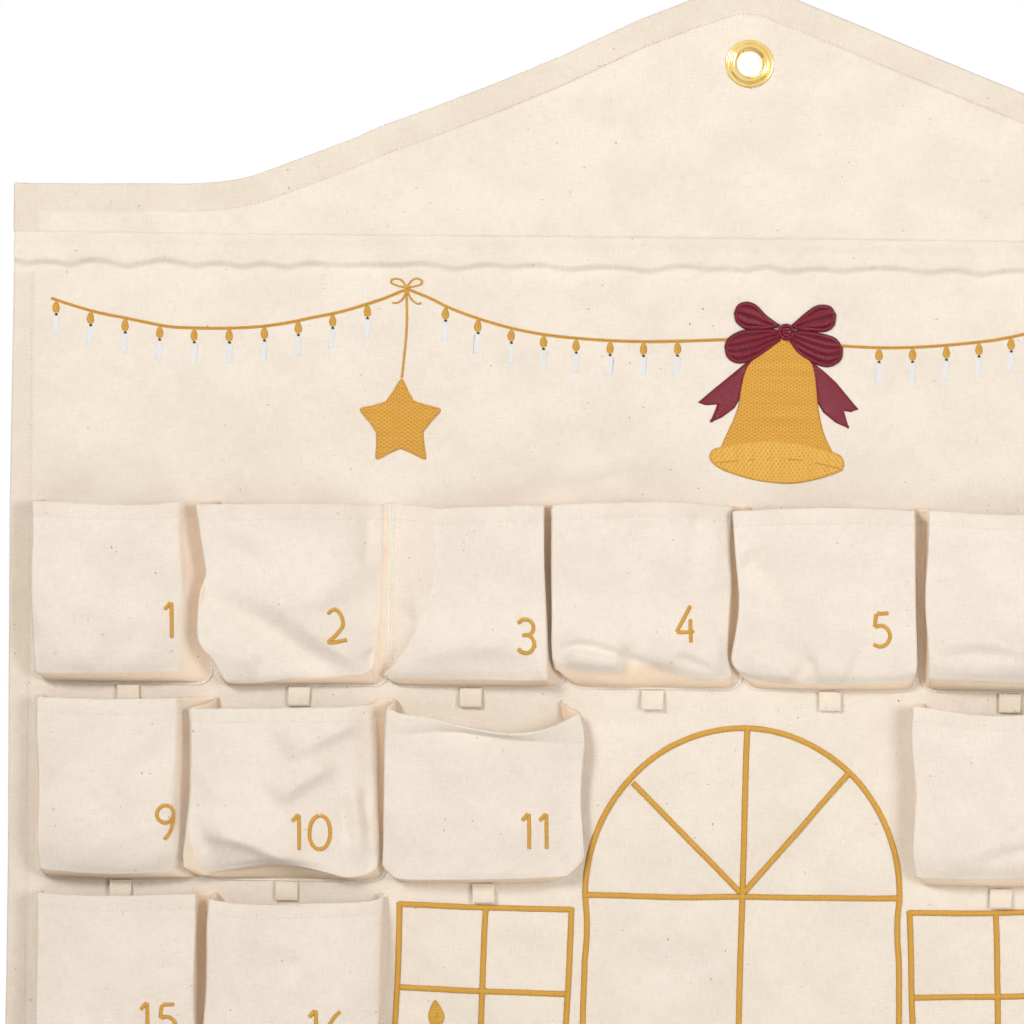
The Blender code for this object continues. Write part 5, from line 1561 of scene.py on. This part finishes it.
BOW_MIDDLE = (786.2, 332.2)
ARCH_LEG = ((587.3, 893), (587.1, 925), (584.9, 957), (583.7, 990), (583, 1024))
ARCH_HUB, ARCH_BARS = (742, 894.5), ((636, 786), (846, 776))
SQUARE_TOP = ((398, 903.8), (440, 905.6), (485.8, 907.4), (530, 908.8), (573.5, 909.4))
SQUARE_BAR = ((399, 986.7), (439.6, 989.1), (478.4, 991.4), (523.9, 992.4), (566, 993.8))
SQUARE_POST = ((485.8, 908), (483.7, 943.6), (482.1, 990.4), (481.3, 1024))
SQUARE_LEFT = ((399.6, 901), (398.3, 957), (394.9, 1024))
SQUARE_RIGHT = ((571.8, 906.5), (570.1, 943.6), (568.1, 990.4), (566.1, 1024))
FLAME = ((435, 999.8), (440, 1006), (444.6, 1016), (442, 1024), (437, 1028.5), (431, 1025), (428.3, 1017),
         (430, 1008))
FLAME_HEART, WICK_TOP = (436.5, 1015), (437, 1028)


def star_outline(shift=0.0):
    """The star's outline with its tips rounded, shifted along the garland."""
    corners = np.array([seen(*p) for p in STAR]) + [shift, 0]
    points = []
    for k in range(0, 10, 2):
        tip, before, after = corners[k], corners[k - 1], corners[(k + 1) % 10]
        a, b = tip + (before - tip) * 0.13, tip + (after - tip) * 0.13
        for t in (0, 0.25, 0.5, 0.75, 1):
            points.append((1 - t) ** 2 * a + 2 * t * (1 - t) * tip + t * t * b)
        points.append(tip + (after - tip) * 0.5 + (corners.mean(0) - (tip + after) / 2) * 0.025)
        points.append(after)
        tip = corners[(k + 2) % 10]
        points.append(after + (tip - after) * 0.5 + (corners.mean(0) - (after + tip) / 2) * 0.025)
    return corner_points(points, 1.0)


def garland():
    heap = Heap()
    for number, part in enumerate(GARLAND):
        for off in (-0.44, 0.44):
            panel_satin(heap, part + [0, off], 0.56, height=0.8, across=5, pitch=0.8, seed=number)
    for k, knot in enumerate(KNOTS):
        loops = [[(0, 0), (-3, 4.2), (-6, 5.2), (-9.2, 4.4), (-9.0, 2.4), (-5, 0.8), (0, 0)],
                 [(0, 0), (3, 4.2), (6, 5.4), (9.2, 4.2), (8.6, 2.0), (5, 0.8), (0, 0)],
                 [(0, -1), (-1.2, -5), (-3.4, -8), (-6.0, -9.4), (-9.0, -9.2)],
                 [(0, -1), (1.8, -5), (4.0, -8.2), (6.8, -9.9), (9.4, -9.0)]]
        for points in loops:
            panel_satin(heap, np.array(points) + [knot, KNOT_Z], 0.66, height=0.95, across=5, pitch=0.7,
                        seed=31 * k)
        panel_satin(heap, [(knot - 1.5, KNOT_Z - 0.4), (knot, KNOT_Z + 0.3), (knot + 1.5, KNOT_Z - 0.2)],
                    1.6, height=1.25, seed=5)
        x_star, z_star = np.array(seen(*STAR[0])) + [knot - KNOTS[0], 0]
        panel_satin(heap, [(knot, KNOT_Z - 1), (knot + 0.2, KNOT_Z - 26), (x_star, z_star - 1)], 0.85,
                    height=0.8, across=5, pitch=0.8, seed=3)
    heap.build("garland_thread", gold, slot="gold_thread")
    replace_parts(bpy.data.objects["garland_thread"], "garland")
    stars, rims = Heap(), Heap()
    for knot in KNOTS:
        outline = star_outline(knot - KNOTS[0])
        fill(stars, outline, height=1.0, edge=1.2)
        inward = outline + (outline.mean(0) - outline) * 0.025
        panel_satin(rims, np.vstack([inward, inward[:1]]), 0.6, height=1.05, across=5, seed=11, ends=0.1)
    stars.build("garland_stars", star_fill, slot="gold_thread")
    rims.build("garland_star_rims", gold, slot="gold_thread")


def candles():
    flames, wicks, bodies = Heap(), Heap(), Heap()
    places = [seen(px, CANDLE_ROW)[0] for px in CANDLES_LEFT + CANDLES_MIDDLE]
    places += [x for x in (MIRROR - x for x in places) if x > BOW_X + 44]
    gen = np.random.default_rng(12)
    for k, x in enumerate(places):
        z = float(garland_z(np.array(x))) - 0.5
        skew = gen.uniform(-0.3, 0.9)
        t = np.linspace(0, 1, 16)
        flame = np.stack([x - 0.3 * np.sin(t * 3), z - 7.6 * t], 1)
        panel_satin(flames, flame, 0.35 + 2.05 * np.sin(math.pi * np.clip(t ** 1.15 * 0.95, 0, 1)) ** 0.75,
                    height=1.15, across=9, seed=k, ends=0.4)
        panel_satin(flames, [(x - 0.1, z - 2.2), (x, z - 4.2), (x - 0.1, z - 5.8)], [0.2, 0.5, 0.2],
                    height=1.3, across=5, seed=k, tone=0.4)
        panel_satin(wicks, [(x - 1.0, z - 7.9), (x - 0.1, z - 8.2), (x + 0.7, z - 7.9)], 0.75, height=1.1,
                    across=5, seed=k)
        top = z - 8.4
        panel_satin(bodies, [(x - 0.1, top), (x - 0.4 - skew * 0.3, top - 6.5),
                             (x - 0.6 - skew * 0.6, top - 12.9)], 2.3, height=0.45, seed=k, ends=0.2,
                    wobble=0.08)
    flames.build("candle_flames", gold, slot="gold_thread")
    wicks.build("candle_wicks", black_thread)
    bodies.build("candle_bodies", white_satin)


def bell_and_bow():
    c = np.array([BOW_X, BOW_Z])
    body = [(-1.0, -3.4), (8, -8.8), (14.4, -15.6), (18.2, -24.1), (19.2, -35.6), (20.1, -45.5),
            (22, -54.7), (24.4, -62.5), (29.4, -72.4), (7.5, -70.0), (-8.6, -69.5), (-24.6, -70.0),
            (-39.0, -70.6), (-36.0, -63.4), (-30.8, -51.7), (-28.1, -43.2), (-26.9, -34.1), (-24.6, -24.1),
            (-21.6, -18.4), (-12, -9)]
    bell = Heap()
    sharp = corner_points(np.vstack([catmull(body[:9], 60), catmull(body[8:13], 50)[1:],
                                     catmull(body[12:], 60)[1:]]) + c, 1.1)
    fill(bell, sharp, height=1.0, edge=1.2, uv_of=lambda p: np.stack([p[:, 0] - (p[:, 1] - BOW_Z) * 0.04,
            p[:, 1]], 1))
    bell.build("bell_body", gold_fill, slot="gold_thread")
    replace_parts(bpy.data.objects["bell_body"], "bell")
    rim_top = [(-39.2, -69.2), (-24.6, -65.9), (-8.6, -64.8), (7.5, -65.9), (20, -68.6), (28.9, -71.6),
               (33.9, -73.8), (35.6, -78.6), (34.6, -82.3)]
    rim_low = [(34.6, -82.3), (22.8, -86.9), (7.5, -90.3), (-4, -90.5), (-19.3, -88.4), (-34.6, -83.8),
               (-42.6, -79.2), (-45.0, -74.6), (-43.4, -70.9), (-39.2, -69.2)]
    outline = corner_points(np.vstack([catmull(rim_top, 80)[:-1], catmull(rim_low, 90)[:-1]]) + c, 1.1)
    rim = Heap()

    def bend(p):
        x, z = p[:, 0] - BOW_X, p[:, 1] - BOW_Z
        return np.stack([z - 0.0045 * (x + 4) ** 2, x * 1.02], 1)

    fill(rim, outline, height=1.15, edge=1.3, lift=0.05, uv_of=bend)
    rim.build("bell_rim", gold_rim, slot="gold_thread")
    lines = Heap()
    inner = [(-42.4, -78.4), (-24.6, -76.9), (-8.6, -75.8), (7.5, -76.1), (22.8, -78.8), (34.3, -81.5)]
    inner = catmull(inner, 60) + c
    for first, last in ((0, 12), (15, 19), (24, 26), (33, 41), (46, 59)):
        panel_satin(lines, inner[first:last + 1], 0.45, height=1.62, across=5, seed=8, tone=0.4)
    closing = np.vstack([outline, outline[:1]])
    centre = outline.mean(0)
    panel_satin(lines, closing + (centre - closing) * [0.012, 0.05], 0.6, height=1.25, across=5, seed=9,
                ends=0.1)
    lines.build("bell_lines", gold, slot="gold_thread")

    bow = Heap()

    # Each loop is a base of stitches with a border and lengthwise bands over it.
    ul_u = [(-3.5, 4.5), (-11.6, 10.3), (-17.8, 16.4), (-23.9, 18.4), (-29.2, 16.4), (-31.5, 11.1)]
    ul_l = [(-5, 2.7), (-12, 1.6), (-17.8, 1.5), (-24.6, 1.7), (-30, 5.7), (-31.5, 11.1)]
    ur_u = [(3.0, 4.4), (11.3, 11.9), (19, 16.8), (26.6, 16.1), (30.1, 11.1)]
    ur_l = [(4, 2.3), (9, 1.2), (14.4, 0.8), (23.6, 0.6), (28.9, 4.2), (30.1, 11.1)]
    ll_u = [(-3.5, 1.5), (-10, 2.4), (-17.8, 1.9), (-26.9, 1.1), (-34.6, -3.4), (-36.9, -8.8)]
    ll_l = [(-2.4, -4.7), (-8.6, -9.6), (-17.8, -16.1), (-25.4, -18.7), (-30.8, -18.4), (-35.4, -14.9),
            (-36.9, -8.8)]
    lr_u = [(3.5, 1.2), (11, 1.6), (23.6, -0.6), (30.5, -3.4), (34.3, -8.8)]
    lr_l = [(1.5, -4.7), (6, -11.5), (12.9, -16.5), (22, -20.3), (28.2, -19.9), (33.5, -15.7), (34.3, -8.8)]

    def inset(outline, size):
        """A closed outline moved inwards."""
        tangent = np.roll(outline, -1, axis=0) - np.roll(outline, 1, axis=0)
        tangent /= np.linalg.norm(tangent, axis=1, keepdims=True) + 1e-9
        x, z = outline[:, 0], outline[:, 1]
        turn = np.sum(x * np.roll(z, -1) - z * np.roll(x, -1))
        return outline + np.stack([-tangent[:, 1], tangent[:, 0]], 1) * size * (1 if turn > 0 else -1)

    def border(outline, half, lift, height, seed):
        path = inset(outline, half + 0.35)
        path = np.vstack([path, path[:2]])
        satin(bow, *raised(path, lift), half, height=height, seed=seed, ends=0.1, wobble=0.08)

    def loop_of(upper, lower, count, seed):
        u, l = catmull(upper, 40), catmull(lower, 40)
        outline = corner_points(np.vstack([u[:-1], l[::-1][:-1]]) + c, 1.2)
        # Painted shade: the base, seen between the raised bands, is coloured darker.
        fill(bow, outline, height=0.6, edge=0.9, lift=0.5, tone=0.45)
        border(outline, 1.15, 0.9, 0.85, seed)
        t = np.linspace(0.06, 0.93, 36)
        u, v = by_share(upper, t, 300) + c, by_share(lower, t, 300) + c
        for k in range(count):
            share = 0.17 + 0.66 * (k + 0.5) / count
            mid = u + (v - u) * share
            half = np.clip(np.linalg.norm(u - v, axis=1) * 0.66 / (2 * count) - 0.22, 0.3, 2.6)
            satin(bow, *raised(mid, 0.9), half, height=0.8, seed=seed + k, ends=0.5, wobble=0.1, pitch=0.8,
                  shift=7.0 * k)

    tail_l = [(-19.5, -14.5), (-34.6, -27.2), (-43.8, -34.8), (-52.6, -42.5), (-47.6, -44.2),
              (-41.1, -43.6), (-42.2, -47.1), (-45.3, -54.6), (-37.7, -51.3), (-30.2, -45.5),
              (-26.8, -39.4), (-25.2, -27.9), (-21.5, -19)]
    tail_r = [(14.5, -16.0), (23.6, -23.3), (30.5, -29.5), (39.6, -40.2), (44.2, -45.5), (39.3, -47.4),
              (35.4, -46.7), (38.7, -57.4), (30.5, -53.9), (22.8, -47.8), (18.8, -40.9), (18, -34.1),
              (16.4, -24.9)]
    tails = ((tail_l, [(-24.6, -20.5), (-33, -31), (-40, -41)]),
             (tail_r, [(17.8, -22), (25, -34), (34, -45)]))
    for outline, middle in tails:
        outline = corner_points(np.array(outline) + c, 1.1)
        fill(bow, outline, height=0.85, edge=1.1, uv_of=lambda p: np.stack([p[:, 0] + p[:, 1],
                p[:, 0] - p[:, 1]], 1) * 0.7)
        border(outline, 0.7, 0.15, 0.95, 3)
        panel_satin(bow, np.array(middle) + c, 0.5, height=1.0, across=5, seed=4, tone=0.3)
    loops = ((ll_u, ll_l, 3, 21), (lr_u, lr_l, 3, 31), (ul_u, ul_l, 2, 41), (ur_u, ur_l, 2, 51))
    for upper, lower, count, seed in loops:
        loop_of(upper, lower, count, seed)
    centre = np.array(seen(*BOW_MIDDLE))
    a = np.linspace(0, 2 * math.pi, 41)
    for radius, lift in ((4.0, 1.5), (2.0, 1.7)):
        ring = np.stack([centre[0] + radius * np.cos(a), centre[1] + radius * np.sin(a)], 1)
        satin(bow, *raised(ring, lift), 1.2, height=1.0, ends=0.1, seed=int(radius))
    dash = centre + np.array([(-1.2, 0), (0, 0.1), (1.2, 0)])
    satin(bow, *raised(dash, 1.9), 1.2, height=0.8, seed=2, pitch=0.4)
    bow.build("bow_satin", wine, slot="red_thread")
    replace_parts(bpy.data.objects["bow_satin"], "bow")


def windows():
    bar = 1.8
    cx, cz, wide, high, sill = 0.9, -499.6, 94.5, 101.0, -724.9
    gen = np.random.default_rng(3)

    def stroke(points, width=bar, **more):
        points = catmull(points, max(6, int(length(points) / 12)))
        drift = 0.25 * np.stack([wave(points[:, 0], points[:, 1], 71, 60, 1),
                                 wave(points[:, 0], points[:, 1], 72, 60, 1)], 1)
        panel_satin(heap, points + drift, width, height=1.55, across=11, pitch=0.7,
                    seed=int(gen.integers(1e6)), **more)

    heap = Heap()
    a = np.radians(np.linspace(180, 0, 60))
    stroke(np.stack([cx + wide * np.cos(a), cz + high * np.sin(a)], 1))
    legs = [seen(*p) for p in ARCH_LEG]
    foot = [(legs[-1][0] + 1.0, -650), (legs[-1][0] + 1.6, sill)]
    stroke([(cx - wide, cz + 1)] + legs[1:] + foot)
    stroke([(cx + cx - x, z) for x, z in [(cx - wide, cz + 1)] + legs[1:] + foot])
    stroke([(foot[-1][0], sill), (0, sill - 0.4), (2 * cx - foot[-1][0], sill)])
    stroke([(cx - wide, cz + 0.3), (cx - 40, cz - 0.6), (cx, cz), (cx + 40, cz - 0.4), (cx + wide, cz)])
    stroke([(cx + 1.8, cz + high), (1.6, cz + 50), (cx, cz), (-0.5, -575), (0.3, -650), (0, sill)])
    middle = (cz + sill) / 2
    stroke([(foot[0][0], middle), (0, middle + 0.5), (2 * cx - foot[0][0], middle)])
    hub = np.array(seen(*ARCH_HUB))
    for place in ARCH_BARS:
        end = np.array(seen(*place))
        stroke([hub + (end - hub) * t for t in (0.015, 0.5, 1.035)], ends=0.3)
    heap.build("arched_window_satin", gold, slot="gold_thread")
    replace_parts(bpy.data.objects["arched_window_satin"], "arched_window")
    low = -606.9
    lines = [[seen(*p) for p in SQUARE_TOP], [seen(*p) for p in SQUARE_BAR]]
    for upright in (SQUARE_POST, SQUARE_LEFT, SQUARE_RIGHT):
        # Each goes on below the photograph's edge.
        lines.append([seen(*p) for p in upright] + [(seen(*upright[-1])[0] - 0.6, low)])
    lines.append([lines[3][-1], lines[2][-1], lines[4][-1]])
    for name, side in (("square_window_left", 1), ("square_window_right", -1)):
        heap = Heap()
        for points in lines:
            stroke([(side * x, z) for x, z in points], ends=0.15)
        heap.build(name + "_satin", gold, slot="gold_thread")
        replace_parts(bpy.data.objects[name + "_satin"], name)
    flames, wicks, bodies = Heap(), Heap(), Heap()
    for side in (1, -1):
        outline = ring_points([(side * x, z) for x, z in (seen(*p) for p in FLAME)], 1.0)
        fill(flames, outline, height=0.8, edge=1.0)
        rim = outline + (outline.mean(0) - outline) * 0.14
        panel_satin(flames, np.vstack([rim, rim[:2]]), 0.75, height=1.05, across=5, seed=41, ends=0.1)
        x, z = seen(*FLAME_HEART)
        panel_satin(flames, [(side * x, z + 2.6), (side * (x + 0.3), z), (side * x, z - 2.8)],
                    [0.3, 1.1, 0.5], height=1.1, across=7, seed=44, tone=0.3)
        x, z = seen(*WICK_TOP)
        panel_satin(wicks, [(side * x, z), (side * x + 0.1, z - 2), (side * x, z - 4)], 0.9, height=0.8,
                    across=5, seed=42)
        panel_satin(bodies, [(side * x, z - 3.6), (side * x + 0.2, (z - 3.6 + low) / 2),
                             (side * x, low + 1.0)], 4.2, height=1.0, across=9, seed=43, ends=0.12)
    flames.build("window_candle_flames", gold, slot="gold_thread")
    wicks.build("window_candle_wicks", black_thread)
    bodies.build("window_candle_bodies", white_satin)


# Numerals as strokes in a box one high, drawn one by one
DIGITS = {"0": (0.60, [[(.29, 1.0), (.11, .88), (.01, .60), (.03, .28), (.15, .06), (.32, .0), (.49, .09),
                        (.60, .35), (.59, .68), (.48, .92), (.29, 1.0)]]),
          "1": (0.26, [[(.0, .80), (.10, .92), (.19, 1.03)], [(.20, 1.03), (.215, .5), (.22, -.03)]]),
          "2": (0.62, [[(.04, .84), (.10, .93), (.23, 1.0), (.36, .93), (.46, .74), (.49, .55), (.40, .38),
                        (.24, .20), (.05, .03)], [(.03, .04), (.22, .03), (.44, .08), (.63, .11)]]),
          "3": (0.52, [[(.03, .85), (.12, .95), (.23, .99), (.38, .95), (.48, .82), (.49, .69), (.41, .565),
                        (.30, .52)], [(.15, .51), (.28, .53), (.40, .49), (.50, .38), (.52, .22),
                                      (.44, .07), (.31, .0), (.17, .02), (.04, .14)]]),
          "4": (0.53, [[(.41, 1.05), (.29, .80), (.13, .50), (.0, .25)],
                       [(.0, .26), (.26, .26), (.54, .29)], [(.41, .66), (.415, .33), (.43, -.06)]]),
          "5": (0.54, [[(.50, .98), (.30, .97), (.13, .97)], [(.13, .98), (.10, .78), (.09, .56)],
                       [(.08, .56), (.26, .62), (.45, .53), (.54, .32), (.46, .10), (.26, .0),
                        (.04, .07)]]), "6": (0.54, [[(.42, 1.0), (.24, .84), (.08, .56), (.02, .28),
        (.12, .06), (.28, .0), (.46, .10), (.53, .30), (.44, .49), (.27, .53), (.10, .43), (.04, .30)]]),
          "7": (0.54, [[(.01, .97), (.26, .98), (.53, .98)],
                       [(.53, .98), (.40, .66), (.27, .32), (.18, .0)]]),
          "8": (0.54, [[(.27, .54), (.09, .66), (.06, .84), (.17, .98), (.30, 1.0), (.45, .92), (.47, .74),
                        (.38, .60), (.27, .54), (.10, .44), (.01, .25), (.09, .06), (.26, .0), (.44, .05),
                        (.54, .23), (.46, .43), (.27, .54)]]),
          "9": (0.54, [[(.48, .70), (.38, .53), (.20, .51), (.05, .62), (.02, .80), (.13, .96), (.30, 1.0),
                        (.45, .90), (.49, .70), (.46, .42), (.36, .16), (.22, .0)]]),}


def on_front(number, points):
    """Points and facings on a pocket's front for places of X and Z."""
    grid, facing = FRONTS[number]
    rows, columns = grid.shape[:2]
    flat = grid.reshape(-1, 3)[:, [0, 2]]
    out, up = [], []
    for p in points:
        k = ((flat - p) ** 2).sum(1).argmin()
        r, c = min(max(k // columns, 0), rows - 2), min(max(k % columns, 0), columns - 2)
        s, t = float(r), float(c)
        for _ in range(5):
            r, c = min(max(int(s), 0), rows - 2), min(max(int(t), 0), columns - 2)
            fs, ft = s - r, t - c
            q = grid[r:r + 2, c:c + 2]
            here = (q[0, 0] * (1 - ft) + q[0, 1] * ft) * (1 - fs) + (q[1, 0] * (1 - ft) + q[1, 1] * ft) * fs
            along = (q[0, 1] - q[0, 0]) * (1 - fs) + (q[1, 1] - q[1, 0]) * fs
            rise = (q[1, 0] - q[0, 0]) * (1 - ft) + (q[1, 1] - q[0, 1]) * ft
            gap = p - here[[0, 2]]
            matrix = np.array([[along[0], rise[0]], [along[2], rise[2]]])
            try:
                dt, ds = np.linalg.solve(matrix, gap)
            except np.linalg.LinAlgError:
                break
            s, t = min(max(s + np.clip(ds, -2, 2), 0), rows - 1.001), min(max(t + np.clip(dt, -2, 2), 0),
                    columns - 1.001)
        n = facing[r:r + 2, c:c + 2].reshape(-1, 3).mean(0)
        out.append(here)
        up.append(n / np.linalg.norm(n))
    return np.array(out), np.array(up)


def numbers():
    high = 20.4
    for number, (column, row) in POCKETS.items():
        text = str(number)
        left = (column - 4) * PITCH + 0.5
        foot = MOUTH_Z - row * ROW_PITCH - POCKET_H
        if number in NUMBERS:
            cx, cz = seen(*NUMBERS[number], NUMBER_DEPTH)
        else:
            gen = np.random.default_rng(900 + number)
            cx, cz = left + 78 + gen.uniform(-3, 3), foot + 36 + gen.uniform(-3, 3)
        gap = 0.25
        total = sum(DIGITS[d][0] for d in text) + gap * (len(text) - 1)
        heap = Heap()
        pen = -total / 2
        for k, d in enumerate(text):
            wide, strokes = DIGITS[d]
            for stroke in strokes:
                points = catmull(np.array(stroke), 26)
                points = np.stack([cx + (pen + points[:, 0]) * high, cz + (points[:, 1] - 0.5) * high], 1)
                at, up = on_front(number, points)
                satin(heap, at, up, 1.28, height=0.9, pitch=0.55, seed=number * 10 + k, ends=0.45,
                      wobble=0.08)
            pen += wide + gap
        heap.build(f"number_{number:02d}", gold, slot="gold_thread")


garland()
candles()
bell_and_bow()
windows()
numbers()
for group, heap in stitches.items():
    heap.build(group, sewing)

# Floor, light and camera

floor_mesh = bpy.data.meshes.new("floor")
size, level = 3.2, -1.25
corners = [(-size, -size, level), (size, -size, level), (size, size, level), (-size, size, level)]
floor_mesh.from_pydata(corners, [], [(0, 1, 2, 3)])
floor = bpy.data.objects.new("floor", floor_mesh)
bpy.context.scene.collection.objects.link(floor)
floor_material, _, floor_shader = node_material("pale_floor")
floor_shader.inputs["Base Color"].default_value = (0.86, 0.86, 0.86, 1)
floor_shader.inputs["Roughness"].default_value = 0.9
floor_mesh.materials.append(floor_material)

# The camera sees the floor paler than its light makes it, with the shadow kept.
tree = floor_material.node_tree
glow, blend = tree.nodes.new("ShaderNodeEmission"), tree.nodes.new("ShaderNodeMixShader")
ray = tree.nodes.new("ShaderNodeLightPath")
glow.inputs["Color"].default_value = (0.93, 0.93, 0.93, 1)
tree.links.new(Nodes(tree).math("MULTIPLY", ray.outputs["Is Camera Ray"], 0.6), blend.inputs["Fac"])
tree.links.new(floor_shader.outputs[0], blend.inputs[1])
tree.links.new(glow.outputs[0], blend.inputs[2])
surface = next(n for n in tree.nodes if n.bl_idname == "ShaderNodeOutputMaterial")
tree.links.new(blend.outputs[0], surface.inputs["Surface"])

world = bpy.data.worlds.new("studio")
bpy.context.scene.world = world
world.use_nodes = True
tree = world.node_tree
tree.nodes.clear()
output = tree.nodes.new("ShaderNodeOutputWorld")
seen_bg, light_bg = tree.nodes.new("ShaderNodeBackground"), tree.nodes.new("ShaderNodeBackground")
pick = tree.nodes.new("ShaderNodeMixShader")
path = tree.nodes.new("ShaderNodeLightPath")
seen_bg.inputs["Color"].default_value = (1, 1, 1, 1)
seen_bg.inputs["Strength"].default_value = 1.0
light_bg.inputs["Color"].default_value = (1.0, 0.98, 0.955, 1)
light_bg.inputs["Strength"].default_value = 0.26
rays = Nodes(tree)
either = rays.math("MAXIMUM", path.outputs["Is Camera Ray"], path.outputs["Is Transmission Ray"])
tree.links.new(rays.math("MAXIMUM", either, path.outputs["Is Glossy Ray"]), pick.inputs["Fac"])
tree.links.new(light_bg.outputs[0], pick.inputs[1])
tree.links.new(seen_bg.outputs[0], pick.inputs[2])
tree.links.new(pick.outputs[0], output.inputs["Surface"])


def area_light(name, place, aim, size, power, colour):
    lamp = bpy.data.lights.new(name, "AREA")
    lamp.shape, lamp.size, lamp.energy, lamp.color = "DISK", size, power, colour
    obj = bpy.data.objects.new(name, lamp)
    bpy.context.scene.collection.objects.link(obj)
    obj.location = place
    obj.rotation_mode = "QUATERNION"
    obj.rotation_quaternion = (Vector(aim) - Vector(place)).to_track_quat("-Z", "Y")
    return obj


area_light("key", (-1.27, -1.75, 0.75), (1.5, 0, 0.6), 0.8, 33.4, (1.0, 0.992, 0.99))
area_light("fill", (1.3, -1.8, -0.12), (0, 0, -0.15), 1.0, 19.2, (1.0, 0.997, 1.0))
area_light("back", (-0.7, 2.4, 1.3), (0, 0.2, -0.5), 1.6, 52, (1.0, 0.997, 0.995)).visible_camera = False

bpy.context.scene.view_settings.view_transform = "Standard"
camera_data = bpy.data.cameras.new("camera")
camera = bpy.data.objects.new("camera", camera_data)
bpy.context.scene.collection.objects.link(camera)
camera_data.type = "PERSP"
camera_data.sensor_width = 36.0
camera_data.lens = 36.0 * CAM_AWAY / (1024 * MM_PER_PIXEL)
camera.location = (CAM_X * MM, -CAM_AWAY * MM, CAM_Z * MM)
camera.rotation_euler = (math.pi / 2, math.atan(-ROLL), 0)
bpy.context.scene.camera = camera
